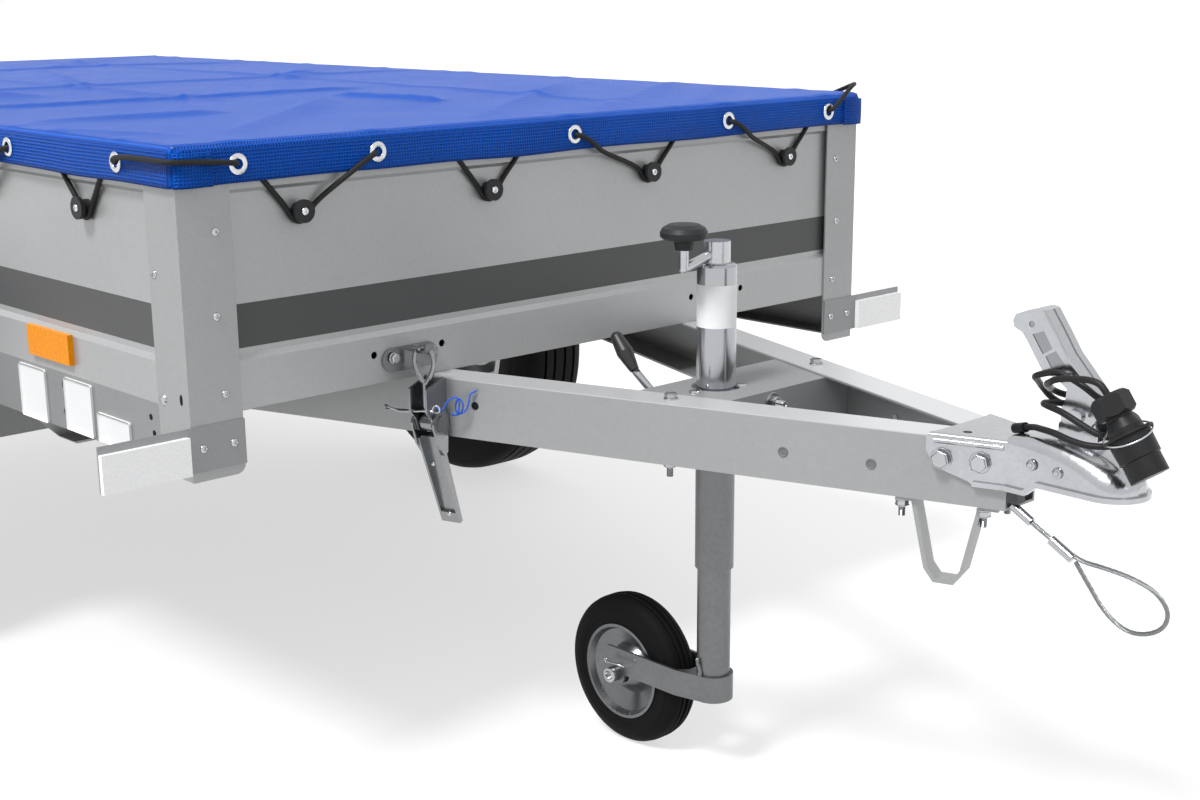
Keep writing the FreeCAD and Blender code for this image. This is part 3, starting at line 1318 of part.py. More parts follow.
pieces = {
    "arm_left": arm(),
    "arm_right": mirrored(arm()),
    "cross_bearer": cross_bearer(),
    "jockey_plate": cross_plate(),
    "jockey_clamp": jockey_clamp(),
    "clamp_handle": clamp_handle(),
    "coupling_head": coupling_head(),
    "coupling_cup": coupling_cup(),
    "coupling_handle": coupling_handle(),
    "v_strap": v_strap(),
    "rope_block": rope_eye(),
    "tilt_pins": both_sides(pivot_pin()),
    "latch_lever": latch_lever(),
    "latch_base": latch_base(),
    "lead_cable": cord("lead", lead_route, lead_d),
    "lead_plug": lead_plug(),
    "lead_gland": lead_gland(),
    "safety_rope": cord("rope", rope_route, rope_d),
    "rope_ferrule": ferrule(),
    "rope_crimp": crimp(),
    "side_beam_left": side_beam(),
    "side_beam_right": mirrored(side_beam()),
    "cross_members": cross_members(),
    "floor_panel": floor_panel(),
    "front_wall": front_wall(),
    "side_wall_left": side_wall(),
    "side_wall_right": mirrored(side_wall()),
    "cover": cover(),
    "cover_rear_flap": cover_rear_flap(),
    "lacing_knobs": lacing_knobs(),
    "front_brackets": both_sides(front_bracket()),
    "front_lenses": both_sides(front_lens()),
    "side_lenses": both_sides(side_lens()),
    "mudguard_left": mudguard(),
    "mudguard_right": mirrored(mudguard()),
    "axle_beam": axle_beam(),
    "swing_arms": both_sides(swing_arm()),
    "rear_lamps": rear_lamps(),
    "lamp_bar": lamp_bar(),
    "gate_hinges": gate_hinges(),
    "latch_keeper": latch_keeper(),
    "tailgate": tailgate(),
    "gate_latches": gate_latches(),
    "jockey_outer": jockey_outer(),
    "jockey_crank": jockey_crank(),
    "jockey_knob": jockey_knob(),
    "jockey_inner": jockey_inner(),
    "jockey_fork": jockey_fork(),
    "jockey_tyre": jockey_tyre(),
    "jockey_rim": jockey_rim(),
}
front_post = post(post_face)
rear_post = post(rear_post_face).mirror(V(-box_length / 2.0, 0, 0), V(1, 0, 0))
pieces["front_posts"] = both_sides(front_post)
pieces["rear_posts"] = both_sides(rear_post)
for label, side in (("left", 1), ("right", -1)):
    pieces["tyre_" + label] = tyre(side)
    pieces["rim_" + label] = rim(side)
    pieces["hub_" + label] = hub(side)

os.makedirs("parts", exist_ok=True)
for name, shape in pieces.items():
    shape = shape.copy()
    shape.translate(V(row_shift, 0, 0))
    if not shape.isValid() or not shape.Solids:
        print("not a valid solid:", name)
    shape.exportStep("parts/" + name + ".step")
whole = Part.makeCompound(list(pieces.values()))
print(len(pieces), "nodes", whole.BoundBox, "shift", row_shift)
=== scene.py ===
import bpy
import math
from mathutils import Matrix, Vector, noise


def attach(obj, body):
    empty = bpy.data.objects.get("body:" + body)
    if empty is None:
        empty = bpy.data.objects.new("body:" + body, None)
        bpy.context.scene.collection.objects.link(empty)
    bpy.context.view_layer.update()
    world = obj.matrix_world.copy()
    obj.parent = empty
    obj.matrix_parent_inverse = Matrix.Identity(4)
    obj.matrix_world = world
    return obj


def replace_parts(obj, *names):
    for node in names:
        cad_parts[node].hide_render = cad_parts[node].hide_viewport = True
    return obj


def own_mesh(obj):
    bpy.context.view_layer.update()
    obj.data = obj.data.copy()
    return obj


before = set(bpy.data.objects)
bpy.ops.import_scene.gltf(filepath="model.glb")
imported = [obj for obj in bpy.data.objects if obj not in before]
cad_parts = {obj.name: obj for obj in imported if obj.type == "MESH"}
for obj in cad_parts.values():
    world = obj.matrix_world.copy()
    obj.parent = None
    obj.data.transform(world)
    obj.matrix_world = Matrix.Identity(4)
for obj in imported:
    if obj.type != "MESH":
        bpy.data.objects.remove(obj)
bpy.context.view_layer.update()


# Camera, floor and light
# The viewpoint of the photograph: ahead and to the right of the coupling, looking back at the box.
# A floor and a sky that are white to look at, a sky that brightens overhead, a soft sun from the right
# and a small lamp ahead.
camera_place = (2.3216, -1.543, 0.9823)
camera_turn = 136.538
camera_dip = -14.709
camera_roll = -0.419
focal_pixels = 1738.67
picture_width = 1200.0
picture_height = 800.0
picture_centre = (603.25, 434.21)
sensor_width = 36.0
floor_size = 120.0
floor_glow = 0.62
sun_turn = 6.0
sun_height = 55.0
sun_softness = 14.0
key_place = Vector((4.2, -0.9, 2.0))
key_target = Vector((0.9, 0.0, 0.5))


def placed(name, data):
    """A new object of the scene, from its data."""
    made = bpy.data.objects.new(name, data)
    bpy.context.scene.collection.objects.link(made)
    return made


camera_data = bpy.data.cameras.new("camera")
camera = placed("camera", camera_data)
turn = Matrix.Rotation(math.radians(camera_turn - 90.0), 3, "Z")
dip = Matrix.Rotation(math.radians(90.0 + camera_dip), 3, "X")
roll = Matrix.Rotation(math.radians(camera_roll), 3, "Z")
camera.location = camera_place
camera.rotation_euler = (turn @ dip @ roll).to_euler()
camera_data.sensor_width = sensor_width
camera_data.lens = focal_pixels * sensor_width / picture_width
camera_data.shift_x = (picture_width / 2.0 - picture_centre[0]) / picture_width
camera_data.shift_y = (picture_centre[1] - picture_height / 2.0) / picture_width
camera_data.clip_end = 200.0
bpy.context.scene.camera = camera
bpy.context.scene.view_settings.view_transform = "Standard"


def paint(red, green, blue):
    """A colour as it shows on a screen, 0 to 255, in the renderer's own linear values."""
    linear = []
    for level in (red / 255.0, green / 255.0, blue / 255.0):
        low = level / 12.92
        high = ((level + 0.055) / 1.055) ** 2.4
        linear.append(low if level <= 0.04045 else high)
    return (*linear, 1.0)


def new_finish(name, **even):
    """A material with one Principled shader, whose even values stand on its own sockets."""
    made = bpy.data.materials.new(name)
    made.use_nodes = True
    shader = made.node_tree.nodes["Principled BSDF"]
    for label, value in even.items():
        shader.inputs[label.replace("_", " ")].default_value = value
    return made, made.node_tree, shader


def add_node(tree, kind, given=None, **settings):
    """A shader node with its settings. What an input is given is an even value or a socket."""
    node = tree.nodes.new("ShaderNode" + kind)
    for name, value in settings.items():
        setattr(node, name, value)
    for name, value in (given or {}).items():
        if isinstance(value, bpy.types.NodeSocket):
            tree.links.new(value, node.inputs[name])
        else:
            node.inputs[name].default_value = value
    return node


def maths(tree, kind, *values):
    """What one Math node makes of even values and sockets."""
    return add_node(tree, "Math", dict(enumerate(values)), operation=kind).outputs["Value"]


def seen_directly(tree):
    """One for rays from the camera, from a gloss or through glass, and none for scattered light."""
    ray = add_node(tree, "LightPath").outputs
    passed = maths(tree, "MAXIMUM", ray["Is Glossy Ray"], ray["Is Transmission Ray"])
    return maths(tree, "MAXIMUM", ray["Is Camera Ray"], passed)


def blended(tree, factor, first, second):
    """A colour that turns from the first to the second with a mask."""
    given = {"Factor": factor, "A": first, "B": second}
    return add_node(tree, "Mix", given, data_type="RGBA").outputs["Result"]


def lay_floor():
    bpy.ops.mesh.primitive_plane_add(size=floor_size)
    floor = bpy.context.object
    floor.name = "floor"
    finish, tree, shader = new_finish("studio_floor", Roughness=0.9, Specular_IOR_Level=0.1,
                                      Emission_Strength=floor_glow)
    mottle = add_node(tree, "TexNoise", {"Scale": 0.6}).outputs["Fac"]
    seen = seen_directly(tree)
    pale = blended(tree, mottle, paint(158, 158, 158), paint(164, 164, 164))
    tone = blended(tree, seen, paint(118, 118, 118), pale)
    glow = blended(tree, seen, paint(0, 0, 0), paint(255, 255, 255))
    tree.links.new(tone, shader.inputs["Base Color"])
    tree.links.new(glow, shader.inputs["Emission Color"])
    floor.data.materials.append(finish)


def light_sky():
    world = bpy.data.worlds.new("studio")
    bpy.context.scene.world = world
    world.use_nodes = True
    tree = world.node_tree
    place = add_node(tree, "TexCoord").outputs["Generated"]
    up = add_node(tree, "SeparateXYZ", {"Vector": place}).outputs["Z"]
    ramp = add_node(tree, "ValToRGB", {"Fac": up})
    bands = ramp.color_ramp.elements
    bands[0].color = paint(158, 159, 160)
    bands[1].position = 0.8
    bands[1].color = paint(255, 255, 255)
    for height, grey in ((0.12, 200), (0.42, 232)):
        bands.new(height).color = paint(grey, grey, grey)
    sky = blended(tree, seen_directly(tree), ramp.outputs["Color"], paint(255, 255, 255))
    tree.links.new(sky, tree.nodes["Background"].inputs["Color"])


def hang_lamp(name, kind, turned, **settings):
    data = bpy.data.lights.new(name, kind)
    for label, value in settings.items():
        setattr(data, label, value)
    lamp = placed(name, data)
    lamp.rotation_euler = turned
    return lamp


lay_floor()
light_sky()
hang_lamp("sun_lamp", "SUN", (math.radians(90.0 - sun_height), 0.0, math.radians(sun_turn)),
          energy=3.0, angle=math.radians(sun_softness))
key_lamp = hang_lamp("key_lamp", "AREA", (key_target - key_place).to_track_quat("-Z", "Y").to_euler(),
                     shape="DISK", size=0.4, energy=4.0)
key_lamp.location = key_place


# Lead and its plug
# The black electrical lead leaves the coupling's top by a rubber sleeve and is wound loosely round
# the foot of the handle. Its seven-pin plug hangs at the end, with a screwed gland and a hinged lid.
row_shift = 0.642
lead_d = 0.007
lead_exit = (0.704, -0.008, 0.5234)
lead_route = [
    lead_exit, (0.716, -0.012, 0.527), (0.730, -0.024, 0.530), (0.752, -0.032, 0.531),
    (0.773, -0.034, 0.5265), (0.795, -0.033, 0.5245), (0.815, -0.024, 0.5265), (0.824, -0.004, 0.531),
    (0.818, 0.016, 0.536), (0.796, 0.028, 0.541), (0.768, 0.031, 0.545), (0.742, 0.029, 0.548),
    (0.724, 0.014, 0.550), (0.722, -0.008, 0.553), (0.738, -0.027, 0.5565), (0.762, -0.034, 0.5545),
    (0.783, -0.035, 0.5465), (0.802, -0.034, 0.539), (0.818, -0.030, 0.536), (0.829, -0.008, 0.541),
    (0.820, 0.018, 0.546), (0.798, 0.034, 0.549), (0.770, 0.040, 0.547), (0.742, 0.041, 0.543),
    (0.720, 0.039, 0.542), (0.706, 0.035, 0.548), (0.700, 0.024, 0.562), (0.707, 0.004, 0.5735),
    (0.721, -0.026, 0.5845), (0.7493, -0.030, 0.5945), (0.7646, -0.030, 0.5907), (0.7834, -0.030, 0.5834),
    (0.800, -0.029, 0.573), (0.815, -0.013, 0.567), (0.812, 0.010, 0.564), (0.795, 0.027, 0.561),
    (0.770, 0.031, 0.5595), (0.745, 0.030, 0.558), (0.7275, 0.031, 0.555), (0.714, 0.025, 0.559),
    (0.719, 0.002, 0.571), (0.7385, -0.024, 0.5793), (0.752, -0.038, 0.587), (0.766, -0.042, 0.5915),
    (0.782, -0.0425, 0.5935), (0.798, -0.0435, 0.595), (0.8105, -0.044, 0.5921), (0.817, -0.044, 0.583),
]
# The tape's two ends are looked for from this point of the route on
tape_knot = 36
tape_thickness = 0.0007
tape_from = (0.7155, 0.014, 0.5650)
tape_to = (0.7245, -0.008, 0.5740)
bail_middle = (0.8419, -0.044, 0.5483)
bail_way = (-0.25, -0.35, 0.90)
bail_r = 0.0245
bail_wire_r = 0.0011


def in_row(point):
    """A point measured from the box's front face, in the frame of the whole trailer."""
    return Vector((point[0] + row_shift, point[1], point[2]))


def laid_curve(name, points, diameter):
    """A smooth round cord along a route whose points are its control points."""
    data = bpy.data.curves.new(name, "CURVE")
    data.dimensions = "3D"
    spline = data.splines.new("NURBS")
    spline.points.add(len(points) - 1)
    for knot, point in zip(spline.points, points):
        knot.co = (*point, 1.0)
    spline.order_u = 3
    spline.use_endpoint_u = True
    data.resolution_u = 10
    data.bevel_depth = diameter / 2.0
    data.bevel_resolution = 4
    data.use_fill_caps = True
    return placed(name, data)


def smooth_line(name, points):
    """The smooth curve of a route beside the box, as a line of points."""
    guide = laid_curve(name, [in_row(point) for point in points], 0.0)
    mesh = bpy.data.meshes.new_from_object(guide)
    line = [v.co.copy() for v in mesh.vertices]
    bpy.data.objects.remove(guide)
    bpy.data.meshes.remove(mesh)
    return line


def ways_along(line):
    """Each point of a line, with two directions square to the line and to each other."""
    across = Vector((0.0, 1.0, 0.0))
    for i, point in enumerate(line):
        way = (line[min(i + 1, len(line) - 1)] - line[max(i - 1, 0)]).normalized()
        across = (across - way * across.dot(way)).normalized()
        yield point, across, way.cross(across)


def tube_along(line, radius, sides, verts, faces):
    """Adds a capped tube along a line of points to lists of corners and faces."""
    first = len(verts)
    for point, across, up in ways_along(line):
        for k in range(sides):
            a = 2.0 * math.pi * k / sides
            verts.append(point + across * math.cos(a) * radius + up * math.sin(a) * radius)
    for i in range(len(line) - 1):
        for k in range(sides):
            a = first + i * sides + k
            b = first + i * sides + (k + 1) % sides
            faces.append((a, b, b + sides, a + sides))
    last = first + (len(line) - 1) * sides
    faces.append(tuple(range(first + sides - 1, first - 1, -1)))
    faces.append(tuple(range(last, last + sides)))


def mesh_piece(name, verts, faces):
    """A smooth piece from lists of corners and faces."""
    data = bpy.data.meshes.new(name)
    data.from_pydata(verts, [], faces)
    data.polygons.foreach_set("use_smooth", [True] * len(data.polygons))
    data.update()
    return placed(name, data)


def tube_piece(name, line, radius, sides):
    verts = []
    faces = []
    tube_along(line, radius, sides, verts, faces)
    return mesh_piece(name, verts, faces)


def effect_group(name, inputs, outputs):
    """An empty shader group with named sockets, what it is given, and where its results go."""
    group = bpy.data.node_groups.new(name, "ShaderNodeTree")
    for label, start in inputs:
        socket = group.interface.new_socket(name=label, in_out="INPUT", socket_type="NodeSocketFloat")
        socket.default_value = start
    for label in outputs:
        group.interface.new_socket(name=label, in_out="OUTPUT", socket_type="NodeSocketFloat")
    return group, group.nodes.new("NodeGroupInput").outputs, group.nodes.new("NodeGroupOutput").inputs


def moulded_grain():
    """Fine pimples and broad scuffs of a moulded plastic or rubber face."""
    group, given, result = effect_group("moulded_grain", [("Grain Scale", 900.0), ("Scuff Scale", 30.0)],
                                        ["Height", "Scuff"])
    place = add_node(group, "TexCoord").outputs["Object"]
    for label, scale, detail in (("Height", "Grain Scale", 3.0), ("Scuff", "Scuff Scale", 6.0)):
        spots = add_node(group, "TexNoise", {"Vector": place, "Scale": given[scale], "Detail": detail})
        group.links.new(spots.outputs["Fac"], result[label])
    return group


grain_group = moulded_grain()


def add_group(tree, group, **values):
    """The outputs of a group's node in a material."""
    given = {label.replace("_", " "): value for label, value in values.items()}
    return add_node(tree, "Group", given, node_tree=group).outputs


def finished(tree, shader, colour, mask, low, high, height, strength, distance):
    """Joins up a finish: its colour, a roughness that runs between two values by a mask, its bump."""
    gloss = add_node(tree, "MapRange", {"Value": mask, "To Min": low, "To Max": high})
    bump = add_node(tree, "Bump", {"Height": height, "Strength": strength, "Distance": distance})
    tree.links.new(colour, shader.inputs["Base Color"])
    tree.links.new(gloss.outputs["Result"], shader.inputs["Roughness"])
    tree.links.new(bump.outputs["Normal"], shader.inputs["Normal"])


def moulded_finish(name, dark, light, low, high, strength=0.25, scale=900.0, specular=0.3, metallic=0.0):
    """Moulded plastic or rubber: a scuffed colour, an uneven gloss and a fine grain."""
    finish, tree, shader = new_finish(name, Specular_IOR_Level=specular, Metallic=metallic)
    grain = add_group(tree, grain_group, Grain_Scale=scale)
    colour = blended(tree, grain["Scuff"], paint(*dark), paint(*light))
    finished(tree, shader, colour, grain["Scuff"], low, high, grain["Height"], strength, 0.0004)
    return finish


def fitted(piece, finish, body):
    """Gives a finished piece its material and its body."""
    piece.data.materials.clear()
    piece.data.materials.append(finish)
    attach(piece, body)
    return piece


def dress(finish, *names):
    """A CAD node keeps its mesh and takes a better material."""
    for name in names:
        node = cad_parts[name]
        node.data.materials.clear()
        node.data.materials.append(finish)


def wrapped_tape():
    """White tape round the lead, between the points of its line nearest to two places."""
    line = smooth_line("tape_guide", lead_route[tape_knot:])
    first, last = (min(range(len(line)), key=lambda i: (line[i] - in_row(end)).length)
                   for end in (tape_from, tape_to))
    return tube_piece("lead_tape", line[first:last + 1], lead_d / 2.0 + tape_thickness, 16)


def wire_bail():
    """The ring of thin wire round the plug."""
    bpy.ops.mesh.primitive_torus_add(major_radius=bail_r, minor_radius=bail_wire_r, major_segments=48,
                                     minor_segments=8)
    bail = bpy.context.object
    bail.name = "plug_bail"
    turned = Vector(bail_way).to_track_quat("Z", "Y").to_matrix().to_4x4()
    bail.data.transform(Matrix.Translation(in_row(bail_middle)) @ turned)
    bpy.ops.object.shade_smooth()
    return bail


lead_sheath = moulded_finish("lead_sheath", (14, 14, 15), (30, 30, 32), 0.38, 0.6)
plug_black = moulded_finish("plug_black", (10, 11, 12), (26, 27, 29), 0.32, 0.5)
lead = laid_curve("lead", [in_row(point) for point in lead_route], lead_d)
fitted(lead, lead_sheath, "drawbar")
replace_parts(lead, "lead_cable")
dress(plug_black, "lead_plug", "lead_gland")
tape_white = moulded_finish("tape_white", (226, 227, 228), (240, 241, 242), 0.5, 0.7, 0.3)
tape = fitted(wrapped_tape(), tape_white, "drawbar")
wire_steel = moulded_finish("wire_steel", (168, 172, 174), (200, 203, 205), 0.22, 0.36,
                            metallic=1.0)
bail = fitted(wire_bail(), wire_steel, "drawbar")


# Safety rope
# A thin stranded steel rope that hangs in a loop under the coupling. A sleeve closes the loop and a
# turned ferrule holds its end.
rope_d = 0.005
strand_count = 6
core_r = 0.00125
strand_r = 0.001
rope_pitch = 0.045
rope_step = 0.0022
rope_exit = (0.725, -0.020, 0.4265)
rope_route = [
    rope_exit, (0.776, -0.020, 0.3983), (0.812, -0.020, 0.3975), (0.845, -0.021, 0.395),
    (0.874, -0.022, 0.387), (0.889, -0.022, 0.369), (0.883, -0.022, 0.350), (0.862, -0.021, 0.338),
    (0.839, -0.020, 0.337), (0.815, -0.018, 0.350), (0.797, -0.0165, 0.370), (0.7765, -0.0172, 0.3965),
]


def evenly(line, step):
    """Points a set distance apart along a line."""
    out = [line[0].copy()]
    left = step
    for a, b in zip(line, line[1:]):
        run = (b - a).length
        gone = 0.0
        while run - gone >= left:
            gone += left
            out.append(a.lerp(b, gone / run))
            left = step
        left -= run - gone
    return out


def wind_strands(name, line):
    """Six strands laid round the rope's own line, and a core."""
    verts = []
    faces = []
    fine = evenly(line, rope_step)
    tube_along(fine, core_r, 6, verts, faces)
    reach = rope_d / 2.0 - strand_r
    for s in range(strand_count):
        strand = []
        for i, (point, across, up) in enumerate(ways_along(fine)):
            a = 2.0 * math.pi * (s / strand_count + i * rope_step / rope_pitch)
            strand.append(point + (across * math.cos(a) + up * math.sin(a)) * reach)
        tube_along(strand, strand_r, 6, verts, faces)
    return mesh_piece(name, verts, faces)


def zinc_spangle():
    """Crystals, clouds and dull streaks of a zinc coat."""
    group, given, result = effect_group("zinc_spangle", [("Crystal Scale", 90.0), ("Cloud Scale", 5.0)],
                                        ["Tone", "Height"])
    place = add_node(group, "TexCoord").outputs["Object"]
    crystals = add_node(group, "TexVoronoi", {"Vector": place, "Scale": given["Crystal Scale"]})
    clouds = add_node(group, "TexNoise", {"Vector": place, "Scale": given["Cloud Scale"], "Detail": 5.0})
    fine = add_node(group, "TexNoise", {"Vector": place, "Scale": 700.0})
    pick = add_node(group, "SeparateColor", {"Color": crystals.outputs["Color"]})
    tone = add_node(group, "Mix", {"Factor": 0.82, "A": pick.outputs["Red"], "B": clouds.outputs["Fac"]})
    group.links.new(tone.outputs["Result"], result["Tone"])
    group.links.new(fine.outputs["Fac"], result["Height"])
    return group


spangle_group = zinc_spangle()
zinc_bump = (0.06, 0.0005)
plated_tones = ((166, 168, 171), (194, 196, 199), 0.16, 0.27)
plated = dict(metallic=1.0, crystal=240.0, cloud=14.0)
dipped_tones = ((152, 154, 155), (170, 171, 172), 0.32, 0.46)
dipped = dict(metallic=0.5, crystal=260.0, cloud=3.0)


def zinc_finish(name, dark, light, low, high, metallic=0.9, crystal=90.0, cloud=5.0, mask=None, painted_tone=None):
    """A zinc coated steel whose tone and gloss follow its crystals and clouds, with a painted tone of
    light or shade where a mask is one."""
    finish, tree, shader = new_finish(name, Metallic=metallic)
    coat = add_group(tree, spangle_group, Crystal_Scale=crystal, Cloud_Scale=cloud)
    colour = blended(tree, coat["Tone"], paint(*dark), paint(*light))
    if mask:
        colour = blended(tree, mask(tree), colour, paint(*painted_tone))
    finished(tree, shader, colour, coat["Tone"], high, low, coat["Height"], *zinc_bump)
    return finish


rope_steel = zinc_finish("rope_steel", (96, 98, 100), (160, 162, 164), 0.25, 0.45,
                         crystal=900.0, cloud=60.0)
bright_zinc = zinc_finish("bright_zinc", *plated_tones, **plated)
rope_line = smooth_line("rope_guide", rope_route)
rope = wind_strands("safety_rope_strands", rope_line)
fitted(rope, rope_steel, "drawbar")
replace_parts(rope, "safety_rope")
dress(bright_zinc, "rope_ferrule", "rope_crimp")


# Drawbar
# Two folded arms of galvanised steel, the bearer bolted across under them, and the plate between
# them that carries the jockey clamp. Plated screws and nuts and small plastic caps show on them.
arm_turn = math.radians(18.32)
arm_side = Vector((math.sin(arm_turn), -math.cos(arm_turn), 0.0))
arm_low = 0.434
arm_top = 0.5075
arm_nuts = ((0.580, -0.050), (0.6675, -0.0225), (0.305, -0.1325))
strap_sheet = 0.0052
plate_screw = (0.305, -0.1315)
arm_caps = ((0.4564, -0.1069, 0.4678), (0.5545, -0.0744, 0.4669))
arm_hole = (0.0711, -0.2345, 0.4764)
inner_hole = (0.4509, 0.1047, 0.4681)
fold_nut = (0.3522, -0.0065, 0.4905)
clamp_screws = ((0.3084, -0.0136), (0.2928, -0.0784))
plate_top = 0.5045
spare_hole_r = 0.0052
inner_hole_r = 0.0048
washer_height = 0.0016
# Screw heads and nuts: width across flats, height, and the radius of the washer
plate_screw_head = (0.013, 0.0053, 0.0085)
arm_nut = (0.013, 0.0065, 0.008)
wide_nut = (0.013, 0.0065, 0.0115)
thread_r = 0.004
thread_reach = 0.0195
thread_pitch = 0.0014
grip_low = 0.521
arm_highlight_band = 0.0012


def facing(place, way, spin=0.0):
    """Takes a piece modelled at the origin, facing up, to its place and turns it to face way."""
    turned = Vector(way).to_track_quat("Z", "Y").to_matrix().to_4x4()
    return Matrix.Translation(place) @ turned @ Matrix.Rotation(spin, 4, "Z")


def mirrored(places, way, spin=0.0):
    """Places along the box's row, each followed by its mirror image, that face way and its image."""
    return [facing(in_row((x, side * y, z)), (way[0], side * way[1], way[2]), spin)
            for x, y, z in places for side in (1.0, -1.0)]


def repeated(master, places, name):
    """Joins a copy of a modelled piece at each place into one piece, and removes the model."""
    bpy.ops.object.select_all(action="DESELECT")
    twins = []
    for place in places:
        twin = master.copy()
        twin.data = master.data.copy()
        bpy.context.scene.collection.objects.link(twin)
        twin.data.transform(place)
        twin.select_set(True)
        twins.append(twin)
    bpy.data.objects.remove(master)
    bpy.context.view_layer.objects.active = twins[0]
    if len(twins) > 1:
        bpy.ops.object.join()
    piece = bpy.context.object
    piece.name = name
    return piece


def lathe(profile, sides=32, sharp=35.0):
    """Spins a half outline, given as radius and height, round the z axis."""
    bpy.ops.object.select_all(action="DESELECT")
    data = bpy.data.meshes.new("lathe")
    data.from_pydata([(r, 0.0, z) for r, z in profile], [(i, i + 1) for i in range(len(profile) - 1)], [])
    piece = placed("lathe", data)
    piece.select_set(True)
    bpy.context.view_layer.objects.active = piece
    bpy.ops.object.mode_set(mode="EDIT")
    bpy.ops.mesh.select_all(action="SELECT")
    bpy.ops.mesh.spin(steps=sides, angle=2.0 * math.pi, center=(0.0, 0.0, 0.0), axis=(0.0, 0.0, 1.0))
    bpy.ops.mesh.select_all(action="SELECT")
    bpy.ops.mesh.remove_doubles(threshold=1e-6)
    bpy.ops.mesh.normals_make_consistent(inside=False)
    bpy.ops.object.mode_set(mode="OBJECT")
    bpy.ops.object.shade_smooth_by_angle(angle=math.radians(sharp))
    return piece


def merged(first, second):
    """Joins the second piece to the first."""
    bpy.ops.object.select_all(action="DESELECT")
    second.select_set(True)
    first.select_set(True)
    bpy.context.view_layer.objects.active = first
    bpy.ops.object.join()
    return first


def hexagon(across, low, height):
    """A chamfered hexagon of a screw or nut, facing up."""
    bpy.ops.mesh.primitive_cylinder_add(vertices=6, radius=across / math.sqrt(3.0), depth=height,
                                        location=(0.0, 0.0, low + height / 2.0))
    head = bpy.context.object
    bpy.ops.object.transform_apply(location=True, rotation=True, scale=True)
    for face in head.data.polygons:
        face.select = face.normal.z > 0.9
    bpy.ops.object.mode_set(mode="EDIT")
    bpy.ops.mesh.select_mode(type="FACE")
    bpy.ops.mesh.bevel(offset=across * 0.045, segments=2)
    bpy.ops.mesh.inset(thickness=across * 0.10)
    bpy.ops.mesh.extrude_region_move(TRANSFORM_OT_translate={"value": (0.0, 0.0, -across * 0.03)})
    bpy.ops.object.mode_set(mode="OBJECT")
    bpy.ops.object.shade_smooth_by_angle(angle=math.radians(25.0))
    return head


def washer(radius, thick):
    return lathe([(0.0, 0.0), (radius, 0.0), (radius, thick * 0.7), (radius - thick * 0.3, thick),
                  (0.0, thick)])


def hex_screw(across, height, washer_r):
    """A screw's hexagon head on its washer, facing up, with the washer's underside at the origin."""
    return merged(hexagon(across, washer_height, height), washer(washer_r, washer_height))


def nut_and_thread(across, height, washer_r):
    """A nut on its washer with the end of the screw, whose thread shows as rings."""
    rings = []
    z = washer_height + height
    while z < thread_reach:
        rings += [(thread_r, z), (thread_r * 0.86, z + thread_pitch / 2.0)]
        z += thread_pitch
    end = [(thread_r * 0.8, thread_reach), (0.0, thread_reach)]
    screw = lathe([(0.0, 0.001), (thread_r, 0.001)] + rings + end, 20)
    return merged(hex_screw(across, height, washer_r), screw)


def flat_disc(radius, thick=0.0003):
    outline = [(0.0, thick), (radius - 0.0003, thick), (radius, thick * 0.5), (radius, 0.0), (0.0, 0.0)]
    return lathe(outline, 24)


def fasten(name, master, places, body="drawbar", finish=bright_zinc):
    """Copies of a modelled piece at its places, as one finished piece of a body."""
    return fitted(repeated(master, places, name), finish, body)


shadow_black = moulded_finish("shadow_black", (6, 6, 7), (14, 14, 15), 0.8, 0.9, 0.1)
cap_grey = moulded_finish("cap_grey", (104, 106, 108), (128, 130, 132), 0.45, 0.6, 0.2)
galvanised = zinc_finish("galvanised", *dipped_tones, **dipped)
dark_zinc = zinc_finish("dark_zinc", (60, 61, 63), (92, 93, 95), 0.35, 0.5, metallic=0.7)
dress(galvanised, "cross_bearer", "jockey_plate", "v_strap")
dress(dark_zinc, "rope_block")
dress(bright_zinc, "jockey_clamp", "tilt_pins")

nut_places = mirrored([(*place, arm_low) for place in arm_nuts], (0, 0, -1))
for i in (0, 2):
    nut_places[i] = Matrix.Translation((0.0, 0.0, -strap_sheet)) @ nut_places[i]
fasten("arm_nuts", nut_and_thread(*arm_nut), nut_places)
screw_places = mirrored([(*plate_screw, arm_top)], (0, 0, 1), 0.3)
fasten("plate_screws", hex_screw(*plate_screw_head), screw_places)
flat_head = [(0.0, 0.0022), (0.0056, 0.0022), (0.0068, 0.0014), (0.0072, 0.0), (0.0, 0.0)]
clamp_places = [facing(in_row((*place, plate_top)), (0, 0, 1)) for place in clamp_screws]
fold_place = facing(in_row(fold_nut), (1, 0, 0))
clamp_set = merged(repeated(lathe(flat_head, 28), clamp_places, "clamp_screws"),
                   repeated(nut_and_thread(*wide_nut), [fold_place], "fold_nut"))
fitted(clamp_set, bright_zinc, "drawbar")
cap_profile = [(0.0, 0.0004), (0.0040, 0.0004), (0.0046, 0.0009), (0.0058, 0.0009), (0.0063, 0.0), (0.0, 0.0)]
fasten("arm_caps", lathe(cap_profile), mirrored(arm_caps, arm_side), finish=cap_grey)
fasten("arm_holes", flat_disc(spare_hole_r), mirrored([arm_hole], arm_side), finish=shadow_black)
# A pale disc in the far arm's hole: painted light that shows through it
hole_light_disc = moulded_finish("hole_light_disc", (206, 207, 208), (216, 217, 218), 0.6, 0.7, 0.05)
inner_place = facing(in_row(inner_hole), (-arm_side.x, arm_side.y, 0.0))
fasten("inner_hole", flat_disc(inner_hole_r), [inner_place], finish=hole_light_disc)


def place_along(tree, axis):
    """One coordinate of a point in the piece's own space."""
    place = add_node(tree, "TexCoord").outputs["Object"]
    return add_node(tree, "SeparateXYZ", {"Vector": place}).outputs[axis]


def height_mask(tree, height):
    """One above a height, and none below it."""
    return maths(tree, "GREATER_THAN", place_along(tree, "Z"), height)


